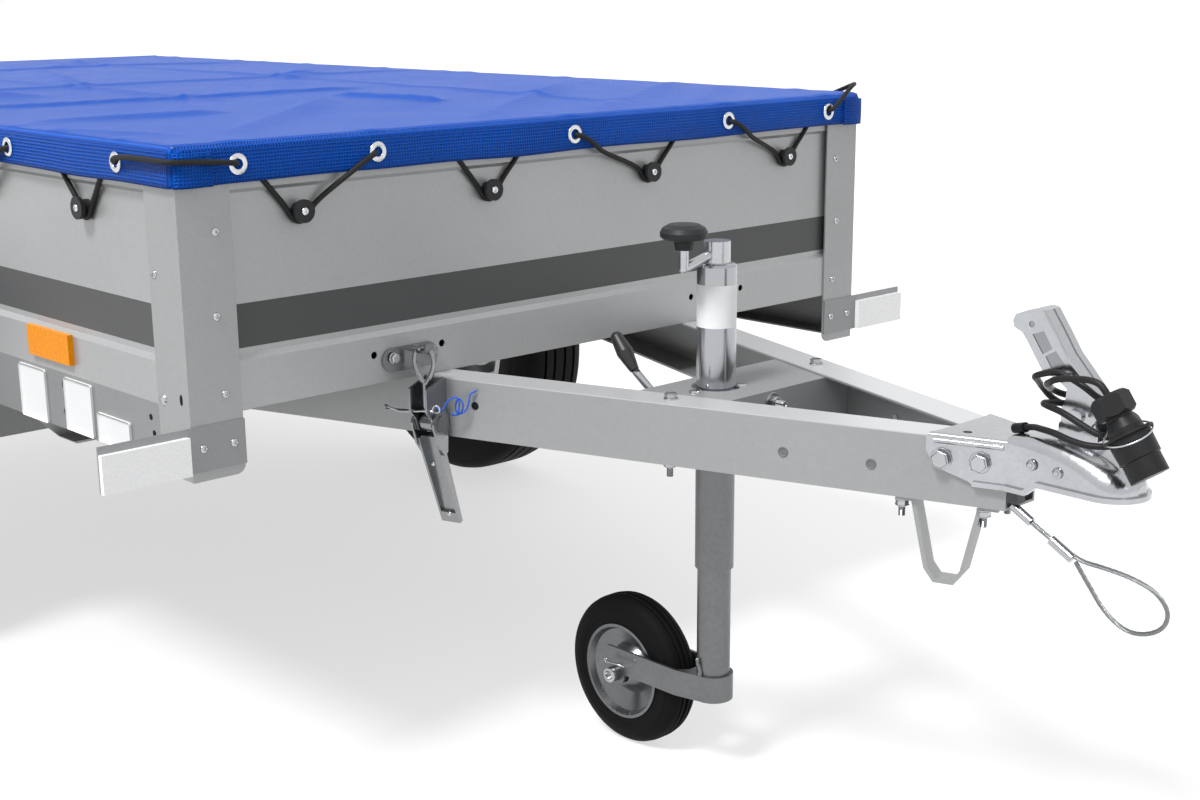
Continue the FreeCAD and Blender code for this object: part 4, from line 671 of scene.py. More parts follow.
def gripped_handle():
    """The clamp's handle: a plated rod, and a black moulded grip from a set height up."""
    finish, tree, shader = new_finish("gripped_handle", Roughness=0.4)
    coat = add_group(tree, spangle_group, Crystal_Scale=240.0, Cloud_Scale=14.0)
    above = height_mask(tree, grip_low)
    bare = blended(tree, coat["Tone"], paint(150, 152, 155), paint(190, 192, 195))
    tree.links.new(blended(tree, above, bare, paint(26, 27, 29)), shader.inputs["Base Color"])
    tree.links.new(maths(tree, "SUBTRACT", 1.0, above), shader.inputs["Metallic"])
    return finish


# The arms' galvanised zinc, with a painted highlight: a lighter tone along their top flanges
highlighted_arm_zinc = zinc_finish("highlighted_arm_zinc", *dipped_tones, **dipped, painted_tone=(202, 203, 205),
                       mask=lambda tree: height_mask(tree, arm_top - arm_highlight_band))
dress(highlighted_arm_zinc, "arm_left", "arm_right")
dress(gripped_handle(), "clamp_handle")


# Coupling
# A pressed head of bright zinc plated steel with its ball cup and hinged handle. Two screws hold
# each cheek to an arm, and two rivets go through the neck.
cheek_screws = ((0.632, -0.0545, 0.4845), (0.672, -0.0412, 0.4850))
neck_rivets = ((0.730, -0.0342, 0.4925), (0.761, -0.0342, 0.490))
neck_rivet_profile = [(0.0, 0.0034), (0.0022, 0.0034), (0.0026, 0.0028), (0.0032, 0.0030), (0.0052, 0.0022),
                      (0.0060, 0.0008), (0.0060, 0.0), (0.0, 0.0)]
cheek_screw_head = (0.017, 0.0068, 0.0118)
handle_field_y = 0.014
field_reach = 0.0002


def recess_shade_mask(tree):
    """One on the floors of the fields pressed into the handle's sides, which take a painted shade."""
    aside = maths(tree, "ABSOLUTE", place_along(tree, "Y"))
    return maths(tree, "COMPARE", aside, handle_field_y, field_reach)


dress(bright_zinc, "coupling_head", "coupling_cup")
# The handle's bright zinc, with painted shade on the floors of its pressed fields
recess_shaded_zinc = zinc_finish("recess_shaded_zinc", *plated_tones, **plated, mask=recess_shade_mask, painted_tone=(146, 148, 151))
dress(recess_shaded_zinc, "coupling_handle")
fasten("cheek_screws", hex_screw(*cheek_screw_head), mirrored(cheek_screws, arm_side, 0.25))
fasten("neck_rivets", lathe(neck_rivet_profile, 28), mirrored(neck_rivets, (0, -1, 0)))


# Tilt latch
# An over-centre latch that holds the bed down on the drawbar: a keeper screwed to the box, an eye, and
# a pressed lever on the right arm. A spring clip on a blue string goes through its base.
latch_place = (0.01955, -0.2515)
latch_along = Vector((math.cos(arm_turn), math.sin(arm_turn), 0.0))
keeper_screws = ((0.0032, -0.3045, 0.5370), (0.0032, -0.2460, 0.5388))
lever_dimples = ((0.0089, 0.4040), (0.0302, 0.3426))
keeper_screw_head = (0.010, 0.0045, 0.0068)
lever_face_out = 0.0285
clip_z = 0.4715
clip_out = 0.036
clip_wire_r = 0.0013
clip_eye = 0.0225
clip_eye_r = 0.0045
string_r = 0.0010
latch_zinc = zinc_finish("latch_zinc", (126, 128, 130), (154, 156, 158), 0.2, 0.32, **plated)
dress(latch_zinc, "latch_lever", "latch_base", "latch_keeper")
keeper_places = [facing(in_row(place), (1, 0, 0), 0.2) for place in keeper_screws]
fasten("keeper_screws", hex_screw(*keeper_screw_head), keeper_places, "bed")


def by_latch(along, out, z):
    """A point by the latch, along the arm and out from its web, in the trailer's frame."""
    return in_row((*latch_place, z)) + latch_along * along + arm_side * out


def spring_clip():
    """The clip's straight leg through the base, its round eye, and the waved leg beside it."""
    line = [by_latch(-0.053, clip_out, clip_z - 0.002), by_latch(0.018, clip_out, clip_z + 0.001)]
    for k in range(13):
        a = math.radians(-90.0 + 27.0 * k)
        line.append(by_latch(clip_eye + clip_eye_r * math.cos(a), clip_out + 0.0003 * k,
                             clip_z + 0.0055 + clip_eye_r * math.sin(a)))
    waves = ((0.014, 0.0035), (-0.004, 0.0005), (-0.030, -0.0025), (-0.046, 0.001), (-0.052, 0.0035))
    line += [by_latch(along, clip_out + 0.003, clip_z + rise) for along, rise in waves]
    return tube_piece("spring_clip", line, clip_wire_r, 8)


dimple_profile = [(0.0, 0.0011), (0.0012, 0.0009), (0.0022, 0.0003), (0.0025, 0.0), (0.0, 0.0)]
dimple_places = [facing(by_latch(along, lever_face_out, z), arm_side) for along, z in lever_dimples]
fasten("lever_dimples", lathe(dimple_profile, 24), dimple_places)
string_route = [
    (0.020, 0.0340, 0.4790), (0.024, 0.0335, 0.4720), (0.029, 0.0320, 0.4760), (0.031, 0.0266, 0.4860),
    (0.040, 0.0200, 0.4915), (0.044, 0.0180, 0.4850), (0.041, 0.0165, 0.4720), (0.038, 0.0160, 0.4655),
    (0.028, 0.0160, 0.4680), (0.033, 0.0150, 0.4650), (0.043, 0.0130, 0.4690), (0.046, 0.0120, 0.4800),
    (0.040, 0.0150, 0.4900), (0.036, 0.0170, 0.4780), (0.038, 0.0160, 0.4670), (0.047, 0.0110, 0.4700),
    (0.051, 0.0080, 0.4830), (0.051, 0.0058, 0.4920), (0.055, 0.0045, 0.4950), (0.0585, 0.0030, 0.4965),
]
clip_string = laid_curve("clip_string", [by_latch(*point) for point in string_route], 2.0 * string_r)
string_blue = moulded_finish("string_blue", (20, 84, 200), (48, 112, 226), 0.6, 0.8, 0.5, 1800.0)
fitted(clip_string, string_blue, "drawbar")
fitted(spring_clip(), bright_zinc, "drawbar")


# Jockey wheel
# A plated tube with a screw inside, a black knob on its crank, and a leg with a bent fork. The solid
# rubber tyre has three grooves, and a white label goes half round the tube.
jockey_place = (0.288, -0.036)
jockey_tube_r = 0.024
label_thickness = 0.00002
label_low = 0.579
label_high = 0.630
label_middle = math.radians(-48.0)
label_half = math.radians(88.0)
jockey_axle = (0.145, -0.036, 0.100)
jockey_wheel_r = 0.100
jockey_groove = 0.0025
# Half the tyre's section: depth under the tread, and distance from the tyre's middle
jockey_section = [
    (0.0, 0.0), (jockey_groove, 0.0006), (jockey_groove, 0.0018), (0.0, 0.0024), (0.0, 0.0070),
    (jockey_groove, 0.0076), (jockey_groove, 0.0088), (0.0004, 0.0094), (0.0012, 0.0135),
    (0.0036, 0.0175), (0.0075, 0.0208), (0.0130, 0.0232), (0.0170, 0.0240), (0.0185, 0.0250),
    (0.0260, 0.0250), (0.0275, 0.0240), (0.0330, 0.0238), (0.0360, 0.0232),
]
fork_face_y = 0.041
tube_shade_line = 0.43
axle_end_r = 0.010
split_pin_r = 0.0011
pin_eye_r = 0.0025
weld_r = 0.0032
weld_unevenness = 0.0016
weld_line = ((0.2806, -0.0580, 0.1566), (0.2850, -0.0585, 0.1450), (0.2870, -0.0580, 0.1340),
             (0.2900, -0.0580, 0.1240), (0.2920, -0.0575, 0.1150))


def tube_finish():
    """The outer tube: bright plating above the clamp, and a duller coat below it, darker in painted shade."""
    finish, tree, shader = new_finish("tube_zinc_shaded_below", Metallic=0.95)
    coat = add_group(tree, spangle_group, Crystal_Scale=240.0, Cloud_Scale=14.0)
    above = height_mask(tree, tube_shade_line)
    dull = blended(tree, coat["Tone"], paint(104, 106, 108), paint(126, 128, 130))
    colour = blended(tree, above, dull, paint(168, 170, 173))
    finished(tree, shader, colour, above, 0.38, 0.17, coat["Height"], *zinc_bump)
    return finish


knob_black = moulded_finish("knob_black", (20, 21, 23), (40, 42, 44), 0.4, 0.6)
dull_zinc = zinc_finish("dull_zinc", (100, 102, 104), (128, 130, 132), 0.26, 0.42,
                        metallic=0.9, crystal=200.0, cloud=8.0)
wheel_silver = zinc_finish("wheel_silver", (156, 158, 160), (192, 194, 196), 0.22, 0.36,
                           metallic=0.9, crystal=300.0, cloud=10.0)
rim_grey = zinc_finish("rim_grey", (94, 96, 98), (128, 130, 132), 0.2, 0.32,
                       metallic=0.95, crystal=300.0, cloud=10.0)
tyre_rubber = moulded_finish("tyre_rubber", (5, 5, 6), (14, 14, 15), 0.6, 0.8, 0.4, specular=0.12)
dress(tube_finish(), "jockey_outer")
dress(bright_zinc, "jockey_crank")
dress(knob_black, "jockey_knob")
dress(dull_zinc, "jockey_inner", "jockey_fork")
dress(rim_grey, "jockey_rim")


def bent_sheet(name, columns, rows, place):
    """A grid whose points go where place puts them, by how far across it they are, 0 to 1."""
    bpy.ops.mesh.primitive_grid_add(x_subdivisions=columns, y_subdivisions=rows, size=1.0)
    sheet = bpy.context.object
    sheet.name = name
    for v in sheet.data.vertices:
        v.co = place(v.co.x + 0.5, v.co.y + 0.5)
    return sheet


def thicken(sheet, thickness):
    thick = sheet.modifiers.new("thick", "SOLIDIFY")
    thick.thickness = thickness
    bpy.ops.object.modifier_apply(modifier="thick")


def on_tube(u, w):
    """A point of the label, bent round the tube's front."""
    a = label_middle + (2.0 * u - 1.0) * label_half
    r = jockey_tube_r + label_thickness
    return in_row((jockey_place[0] + r * math.cos(a), jockey_place[1] + r * math.sin(a),
                   label_low + w * (label_high - label_low)))


def tube_label():
    """A blank white label."""
    label = bent_sheet("tube_label", 88, 4, on_tube)
    thicken(label, label_thickness)
    bpy.ops.object.shade_smooth_by_angle(angle=math.radians(30.0))
    return label


def spun_tyre(name, radius, section, sides, sharp, place):
    """A tyre spun from half its section, turned and taken to its place."""
    half = [(radius - deep, beside) for deep, beside in section]
    tyre = lathe(half[::-1] + [(r, -beside) for r, beside in half[1:]], sides, sharp)
    tyre.data.transform(place)
    tyre.name = name
    return tyre


label_white = moulded_finish("label_white", (234, 235, 236), (243, 244, 245), 0.3, 0.42, 0.05)
fitted(tube_label(), label_white, "jockey_tube")
jockey_tyre = spun_tyre("jockey_grooved_tyre", jockey_wheel_r, jockey_section, 96, 28.0,
                        facing(in_row(jockey_axle), (0, 1, 0)))
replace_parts(fitted(jockey_tyre, tyre_rubber, "jockey_wheel"), "jockey_tyre")
axle_profile = [(0.0, 0.0004), (axle_end_r * 0.62, 0.0004), (axle_end_r * 0.66, 0.0052),
                (axle_end_r * 0.95, 0.0052), (axle_end_r, 0.0044), (axle_end_r, 0.0), (0.0, 0.0)]
axle_places = [facing(in_row(jockey_axle) + Vector((0.0, side * fork_face_y, 0.0)), (0, side, 0))
               for side in (-1.0, 1.0)]
fasten("axle_ends", lathe(axle_profile, 28), axle_places, "jockey_leg")


def split_pin():
    """The split pin over the axle's near end: an eye and two legs."""
    y = jockey_axle[1] - fork_face_y - 0.0035
    line = [in_row((0.139 + pin_eye_r * math.cos(a), y, 0.1195 + pin_eye_r * math.sin(a)))
            for a in (math.radians(40.0 + 32.0 * k) for k in range(10))]
    line += [in_row((0.152, y, 0.1188)), in_row((0.1728, y, 0.1196))]
    return tube_piece("split_pin", line, split_pin_r, 8)


def weld_bead():
    """The uneven bead of weld between the fork and the inner tube."""
    line = smooth_line("weld_guide", weld_line)
    verts = []
    faces = []
    tube_along(line, weld_r, 10, verts, faces)
    for v in verts:
        at = v * 260.0
        v += Vector((noise.noise(at), noise.noise(at + Vector((9, 0, 0))), 0.0)) * weld_unevenness
    return mesh_piece("weld_bead", verts, faces)


fitted(split_pin(), bright_zinc, "jockey_leg")
fitted(weld_bead(), dull_zinc, "jockey_leg")


# Box
# Walls of pressed galvanised sheet with a dark stripe, on two side beams and cross members. Blind
# rivets hold the corner posts and brackets, and blank labels are stuck on the right beam.
stripe_low = 0.578
stripe_high = 0.629
post_front_x = 0.0
post_side_y = 0.585
bracket_front_x = 0.003
beam_side_y = 0.5825
rivet_front = ((0.538, 0.7147), (0.543, 0.6200), (0.5375, 0.5308))
rivet_side = ((-0.0570, 0.6662),)
box_rivet_r = 0.0050
label_sheet = 0.0003
label_corner = 0.003
post_screw = (-0.0560, 0.5228)
post_slot = (-0.0165, 0.5287)
bracket_rivets = ((0.5719, 0.4736), (0.5320, 0.4736))
beam_holes = ((-0.0924, 0.4958), (-0.0871, 0.4772))
beam_labels = ((-0.423, -0.352, 0.4417, 0.5108), (-0.301, -0.2318, 0.4440, 0.5103),
               (-0.2195, -0.1417, 0.4440, 0.4800))


def striped_sheet():
    """The wall's galvanised sheet, with a dark satin stripe between two heights."""
    finish, tree, shader = new_finish("striped_sheet")
    coat = add_group(tree, spangle_group, Crystal_Scale=260.0, Cloud_Scale=2.0)
    stripe = maths(tree, "SUBTRACT", height_mask(tree, stripe_low), height_mask(tree, stripe_high))
    bare = blended(tree, coat["Tone"], paint(166, 167, 168), paint(182, 183, 184))
    colour = blended(tree, stripe, bare, paint(70, 71, 72))
    finished(tree, shader, colour, coat["Tone"], 0.5, 0.34, coat["Height"], *zinc_bump)
    metal = add_node(tree, "MapRange", {"Value": stripe, "To Min": 0.5, "To Max": 0.0})
    tree.links.new(metal.outputs["Result"], shader.inputs["Metallic"])
    return finish


def domed_rivet(radius):
    """A blind rivet's dome with the hole of its drawn stem, facing up."""
    core = radius * 0.36
    return lathe([(0.0, 0.0002), (core, 0.0002), (core, radius * 0.34), (core * 1.25, radius * 0.42),
                  (radius * 0.72, radius * 0.36), (radius * 0.93, radius * 0.22), (radius, radius * 0.05),
                  (radius, 0.0), (0.0, 0.0)], 24)


def stuck_label(x0, x1, z0, z1):
    """A blank label: a thin plate with rounded corners, stuck on the right beam."""
    bpy.ops.mesh.primitive_cube_add(size=1.0, location=in_row(((x0 + x1) / 2.0, -beam_side_y - 0.0001,
                                                               (z0 + z1) / 2.0)))
    label = bpy.context.object
    label.scale = (x1 - x0, label_sheet, z1 - z0)
    bpy.ops.object.transform_apply(location=True, rotation=True, scale=True)
    for edge in label.data.edges:
        a, b = (label.data.vertices[i].co for i in edge.vertices)
        edge.select = abs(a.x - b.x) < 1e-5 and abs(a.z - b.z) < 1e-5
    bpy.ops.object.mode_set(mode="EDIT")
    bpy.ops.mesh.select_mode(type="EDGE")
    bpy.ops.mesh.bevel(offset=label_corner, segments=5)
    bpy.ops.object.mode_set(mode="OBJECT")
    return label


dress(striped_sheet(), "front_wall", "side_wall_left", "side_wall_right")
# Beams, members and brackets: the galvanised finish made darker, as painted shade
shaded_frame_zinc = zinc_finish("shaded_frame_zinc", (134, 136, 137), (152, 153, 154), 0.34, 0.5, **dipped)
dress(shaded_frame_zinc, "side_beam_left", "side_beam_right", "cross_members", "front_brackets", "lamp_bar",
      "axle_beam", "swing_arms")
dress(galvanised, "front_posts", "rear_posts", "tailgate")
dress(bright_zinc, "gate_latches", "gate_hinges", "hub_left", "hub_right")
floor_board = moulded_finish("floor_board", (60, 42, 28), (92, 66, 44), 0.45, 0.6, 0.3, 300.0)
dress(floor_board, "floor_panel")
front_rivets = [(post_front_x, *place) for place in rivet_front]
front_rivets += [(bracket_front_x, *place) for place in bracket_rivets]
side_rivets = [(x, post_side_y, z) for x, z in rivet_side]
rivet_places = mirrored(front_rivets, (1, 0, 0)) + mirrored(side_rivets, (0, 1, 0))
fasten("box_rivets", domed_rivet(box_rivet_r), rivet_places, "bed")
button_profile = [(0.0, 0.0030), (0.0030, 0.0028), (0.0056, 0.0018), (0.0068, 0.0), (0.0, 0.0)]
button_places = mirrored([(post_screw[0], post_side_y, post_screw[1])], (0, 1, 0))
fasten("post_screws", lathe(button_profile, 28), button_places, "bed")
slot_shape = Matrix.Diagonal((0.62, 1.25, 1.0, 1.0))
hole_shape = Matrix.Diagonal((0.72, 0.72, 1.0, 1.0))
slots = [place @ slot_shape for place in mirrored([(post_slot[0], post_side_y, post_slot[1])], (0, 1, 0))]
holes = [place @ hole_shape for place in mirrored([(x, beam_side_y, z) for x, z in beam_holes], (0, 1, 0))]
fasten("box_holes", flat_disc(spare_hole_r), slots + holes, "bed", shadow_black)
stuck = stuck_label(*beam_labels[0])
for reach in beam_labels[1:]:
    merged(stuck, stuck_label(*reach))
stuck.name = "beam_labels"
fitted(stuck, label_white, "bed")


# Lamps and reflectors
# Moulded lenses: white and orange reflectors with a honeycomb behind a clear face, and red rear lamps.
def honeycomb():
    """The cells of a reflector's prisms."""
    group, given, result = effect_group("honeycomb", [("Cell Scale", 420.0)], ["Cell", "Height"])
    place = add_node(group, "TexCoord").outputs["Object"]
    cells = add_node(group, "TexVoronoi", {"Vector": place, "Scale": given["Cell Scale"], "Randomness": 0.25})
    tint = add_node(group, "SeparateColor", {"Color": cells.outputs["Color"]})
    group.links.new(tint.outputs["Red"], result["Cell"])
    group.links.new(cells.outputs["Distance"], result["Height"])
    return group


honeycomb_group = honeycomb()


def lens_finish(name, dark, light, strength, cell=420.0, **even):
    """A clear moulded lens whose cells catch the light by turns."""
    finish, tree, shader = new_finish(name, **even)
    cells = add_group(tree, honeycomb_group, Cell_Scale=cell)
    colour = blended(tree, cells["Cell"], paint(*dark), paint(*light))
    finished(tree, shader, colour, cells["Cell"], 0.16, 0.34, cells["Height"], strength, 0.0006)
    return finish


# The white reflectors glow faintly: painted light
lens_white = lens_finish("lens_white", (240, 242, 243), (252, 252, 253), 0.12, cell=700.0,
                         Coat_Weight=0.6, Emission_Strength=0.10)
lens_orange = lens_finish("lens_orange", (236, 140, 0), (248, 156, 2), 0.1, Specular_IOR_Level=0.1)
lamp_red = lens_finish("lamp_red", (104, 3, 5), (150, 8, 10), 0.3, Coat_Weight=0.25,
                       Specular_IOR_Level=0.25)
dress(lens_white, "front_lenses")
dress(lens_orange, "side_lenses")
dress(lamp_red, "rear_lamps")


# Road wheels and mudguards
# Radial tyres on pressed steel rims held by four screws, under moulded black mudguards. The tread has
# four grooves round it and slanted cuts between them.
wheel_x = -1.065
wheel_y = 0.679
wheel_r = 0.280
disc_face_y = 0.702
stud_circle_r = 0.050
wheel_screw_head = (0.017, 0.009, 0.0105)
tread_lugs = 66.0
tread_depth = 0.012
# Half the tyre's section: depth under the tread, and distance from the tyre's middle
road_section = [
    (0.0, 0.0), (0.0, 0.0100), (0.0060, 0.0108), (0.0060, 0.0152), (0.0, 0.0160), (0.0004, 0.0330),
    (0.0060, 0.0338), (0.0060, 0.0382), (0.0008, 0.0390), (0.0030, 0.0500), (0.0085, 0.0590),
    (0.0180, 0.0650), (0.0210, 0.0654), (0.0225, 0.0672), (0.0400, 0.0730), (0.0560, 0.0748),
    (0.0580, 0.0742), (0.0600, 0.0748), (0.0760, 0.0735), (0.0920, 0.0690), (0.0990, 0.0650),
    (0.1030, 0.0630), (0.1044, 0.0590),
]


def tread_cuts():
    """The slanted cuts across a tread, from the angle round the wheel and the place across it."""
    group, given, result = effect_group("tread_cuts", [("Lugs", tread_lugs)], ["Height", "Scuff"])
    place = add_node(group, "TexCoord").outputs["Object"]
    axes = add_node(group, "SeparateXYZ", {"Vector": place}).outputs
    scuff = add_node(group, "TexNoise", {"Vector": place, "Scale": 24.0})
    ahead = maths(group, "SUBTRACT", axes["X"], wheel_x + row_shift)
    above = maths(group, "SUBTRACT", axes["Z"], wheel_r)
    squares = maths(group, "ADD", maths(group, "POWER", ahead, 2.0), maths(group, "POWER", above, 2.0))
    reach = maths(group, "POWER", squares, 0.5)
    across = maths(group, "SUBTRACT", maths(group, "ABSOLUTE", axes["Y"]), wheel_y)
    slant = maths(group, "MULTIPLY", maths(group, "ABSOLUTE", across), 120.0)
    lugs = maths(group, "MULTIPLY", maths(group, "ARCTAN2", above, ahead), given["Lugs"])
    wave = maths(group, "SINE", maths(group, "ADD", lugs, slant))
    cut = maths(group, "GREATER_THAN", wave, 0.72)
    on_tread = maths(group, "GREATER_THAN", reach, wheel_r - tread_depth)
    height = maths(group, "SUBTRACT", 1.0, maths(group, "MULTIPLY", cut, on_tread))
    group.links.new(height, result["Height"])
    group.links.new(scuff.outputs["Fac"], result["Scuff"])
    return group


def road_rubber():
    finish, tree, shader = new_finish("road_rubber", Specular_IOR_Level=0.15)
    cuts = add_group(tree, tread_cuts(), Lugs=tread_lugs)
    colour = blended(tree, cuts["Scuff"], paint(8, 8, 9), paint(20, 20, 21))
    finished(tree, shader, colour, cuts["Scuff"], 0.5, 0.75, cuts["Height"], 1.0, 0.004)
    return finish


def road_tyre(name, side):
    place = facing(in_row((wheel_x, side * wheel_y, wheel_r)), (0, side, 0))
    return spun_tyre(f"road_tyre_{name}", wheel_r, road_section, 120, 30.0, place)


road_black = road_rubber()
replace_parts(fitted(road_tyre("left", 1.0), road_black, "wheel_left"), "tyre_left")
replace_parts(fitted(road_tyre("right", -1.0), road_black, "wheel_right"), "tyre_right")
dress(wheel_silver, "rim_left", "rim_right")
guard_black = moulded_finish("guard_black", (24, 25, 27), (42, 43, 46), 0.5, 0.7, 0.5, 500.0)
dress(guard_black, "mudguard_left", "mudguard_right")
for name, side in (("left", 1.0), ("right", -1.0)):
    stud_places = []
    for k in range(4):
        a = math.radians(45.0 + 90.0 * k)
        stud = (wheel_x + stud_circle_r * math.cos(a), side * disc_face_y,
                wheel_r + stud_circle_r * math.sin(a))
        stud_places.append(facing(in_row(stud), (0, side, 0), a))
    fasten(f"wheel_screws_{name}", hex_screw(*wheel_screw_head), stud_places, f"wheel_{name}")


# Tarpaulin
# A flat cover of coated blue fabric, stretched over the box and folded down over its top edge. Its
# corners are folded under, its top keeps the creases of its packing, and its rear skirt lifts apart
# so that the tailgate can open.
cloth_thickness = 0.0012
cloth_front = 0.6465
cloth_rear = -1.4575
cloth_half = 0.5895
cloth_edge = 0.8125
cloth_hem = 0.7665
cloth_bend = 0.010
cloth_crown = 0.005
crease_depth = 2.0
pleat_height = 0.0012
pleat_width = 0.035
pleat_wave = 0.012
skirt_steps = (0.14, 0.22, 0.22, 0.22, 0.2)
skirt_depth = cloth_edge - cloth_hem
fold_width = 0.046
fold_out = 0.0022
# Packing creases and pulls across the top: start, end, height and half width
creases = [
    ((-0.911, 0.025), (-0.296, -0.188), 0.0022, 0.011), ((-0.06, -0.47), (-0.006, -0.223), 0.0024, 0.010),
    ((-0.006, -0.223), (0.03, 0.10), 0.0022, 0.009), ((0.14, -0.012), (0.33, 0.03), 0.0030, 0.010),
    ((0.235, -0.55), (0.271, -0.30), 0.0028, 0.016), ((0.545, -0.44), (0.22, -0.086), 0.0036, 0.022),
    ((0.60, -0.12), (0.21, 0.37), 0.0034, 0.020), ((0.60, 0.097), (0.294, 0.56), 0.0040, 0.024),
    ((0.62, 0.257), (0.40, 0.56), 0.0030, 0.018), ((0.355, -0.58), (0.52, -0.53), 0.0030, 0.014),
    ((-0.35, -0.59), (-0.35, 0.59), 0.0018, 0.008), ((-0.98, -0.59), (-0.98, 0.59), 0.0018, 0.008),
    ((-1.45, 0.21), (0.64, 0.19), 0.0016, 0.008), ((-1.45, -0.20), (0.10, -0.19), 0.0016, 0.008),
    ((-1.30, -0.50), (-0.80, -0.15), 0.0034, 0.026), ((-0.70, 0.55), (-0.30, 0.20), 0.0034, 0.024),
    ((-1.35, 0.45), (-1.00, 0.10), 0.0034, 0.026), ((-0.60, -0.55), (-0.20, -0.33), 0.0030, 0.022),
]
eyelet_z = 0.787
eyelet_front_y = (-0.508, -0.318, -0.004, 0.290, 0.510)
eyelet_side_x = [0.5284 - k * 0.268 for k in range(8)]


def near_line(x, y, start, end):
    """How far a point lies beside a line, and how far along it, 0 to 1."""
    run = Vector((end[0] - start[0], end[1] - start[1]))
    off = Vector((x - start[0], y - start[1]))
    along = off.dot(run) / run.length_squared
    held = min(max(along, 0.0), 1.0)
    return (off - run * held).length, along


def pleats(reach, beside):
    """The small pleats that an eyelet pulls, by the distance in from the edge and beside the eyelet."""
    if reach >= 0.16 or abs(beside) >= 0.09:
        return 0.0
    fade = math.exp(-(reach / (2.0 * pleat_width)) ** 2) * math.exp(-(beside / pleat_width) ** 2)
    return pleat_height * fade * math.cos(beside / pleat_wave)


def crease_height(x, y):
    rise = sum(pleats(cloth_front - x, y - y0) for y0 in eyelet_front_y)
    for x0 in eyelet_side_x:
        rise += pleats(cloth_half + y, x - x0) + pleats(cloth_half - y, x - x0)
    for start, end, height, width in creases:
        beside, along = near_line(x, y, start, end)
        if beside < 3.0 * width:
            fade = min(1.0, max(0.0, 5.0 * min(along + 0.1, 1.1 - along)))
            rise += height * fade * math.exp(-(beside / width) ** 2)
    return crease_depth * rise


def sag_of_top(x, y):
    """Height of the cover's top over its edge: a low crown, soft swells and the creases."""
    u = (x - cloth_rear) / (cloth_front - cloth_rear)
    v = (y + cloth_half) / (2.0 * cloth_half)
    held = min(1.0, 7.0 * min(u, 1.0 - u, v, 1.0 - v))
    swell = noise.noise(Vector((x * 2.3, y * 2.3, 0.4))) * 0.0035
    ripple = noise.noise(Vector((x * 9.0, y * 5.0, 7.0))) * 0.0016
    crown = cloth_crown * math.sin(math.pi * u) * math.sin(math.pi * v)
    return crown + held * (swell + ripple) + (0.35 + 0.65 * held) * crease_height(x, y)


def skirt_bulge(run, drop, eyelets):
    """How far the skirt stands out: a slack wave between the eyelets, and a hem that flares."""
    nearest = min(abs(run - e) for e in eyelets)
    slack = min(1.0, nearest / 0.10)
    wave = noise.noise(Vector((run * 11.0, 3.0, drop * 8.0)))
    return (0.0012 + 0.0016 * slack + 0.0018 * wave * slack) * min(1.0, drop / 0.03)


def edges_of(cloth):
    """Each edge of the cloth with its ends, and whether it lies on a side or at the front."""
    for edge in cloth.data.edges:
        ends = [cloth.data.vertices[i].co for i in edge.vertices]
        on_side = all(abs(abs(p.y) - cloth_half) < 1e-4 for p in ends)
        yield edge, ends, on_side, all(abs(p.x - cloth_front) < 1e-4 for p in ends)


def over_box(u, w):
    return cloth_rear + u * (cloth_front - cloth_rear), (2.0 * w - 1.0) * cloth_half, cloth_edge


def stretch_cloth(name):
    """A fine grid over the box, with a skirt drawn down round it and its folded edge rounded."""
    cloth = bent_sheet(name, 120, 68, over_box)
    bpy.ops.object.mode_set(mode="EDIT")
    bpy.ops.mesh.select_mode(type="EDGE")
    bpy.ops.mesh.select_all(action="DESELECT")
    bpy.ops.object.mode_set(mode="OBJECT")
    for edge, ends, on_side, on_front in edges_of(cloth):
        edge.select = on_side or on_front
    bpy.ops.object.mode_set(mode="EDIT")
    for part in skirt_steps:
        bpy.ops.mesh.extrude_edges_move(TRANSFORM_OT_translate={"value": (0.0, 0.0, -part * skirt_depth)})
    bpy.ops.object.mode_set(mode="OBJECT")
    for edge, ends, on_side, on_front in edges_of(cloth):
        at_top = all(abs(p.z - cloth_edge) < 1e-5 for p in ends)
        edge.select = (at_top and (on_side or on_front)) or (on_side and on_front)
    bpy.ops.object.mode_set(mode="EDIT")
    bpy.ops.mesh.bevel(offset=cloth_bend, segments=4, profile=0.5)
    bpy.ops.object.mode_set(mode="OBJECT")
    return cloth


def finish_cloth(cloth):
    """Unrolls the cloth to its own pattern space, lets it sag and crease, and gives it thickness."""
    smooth = cloth.modifiers.new("smooth", "SUBSURF")
    smooth.levels = 1
    smooth.render_levels = 1
    bpy.ops.object.modifier_apply(modifier="smooth")
    mesh = cloth.data
    flat = []
    for v in mesh.vertices:
        drop = cloth_edge - v.co.z
        x = v.co.x + (drop if v.co.x > cloth_front - 0.0005 else 0.0)
        y = v.co.y + (math.copysign(drop, v.co.y) if abs(v.co.y) > cloth_half - 0.0005 else 0.0)
        flat.append((x, y))
    for loop in mesh.loops:
        mesh.uv_layers[0].data[loop.index].uv = flat[loop.vertex_index]
    for v in mesh.vertices:
        drop = cloth_edge - v.co.z
        if drop < 0.002:
            v.co.z += sag_of_top(v.co.x, v.co.y)
        front = v.co.x > cloth_front - 0.0025
        side = abs(v.co.y) > cloth_half - 0.0025
        if drop > 0.004 and (front or side):
            run, eyelets = (v.co.y, eyelet_front_y) if front else (v.co.x, eyelet_side_x)
            out = skirt_bulge(run, drop, eyelets)
            if front:
                v.co.x += out
            if side:
                v.co.y += math.copysign(out, v.co.y)
            v.co.z += 0.0032 * noise.noise(Vector((v.co.x * 6.0, v.co.y * 6.0, 2.0))) * drop / 0.045
    thicken(cloth, cloth_thickness)
    bpy.ops.object.shade_smooth()
    return cloth


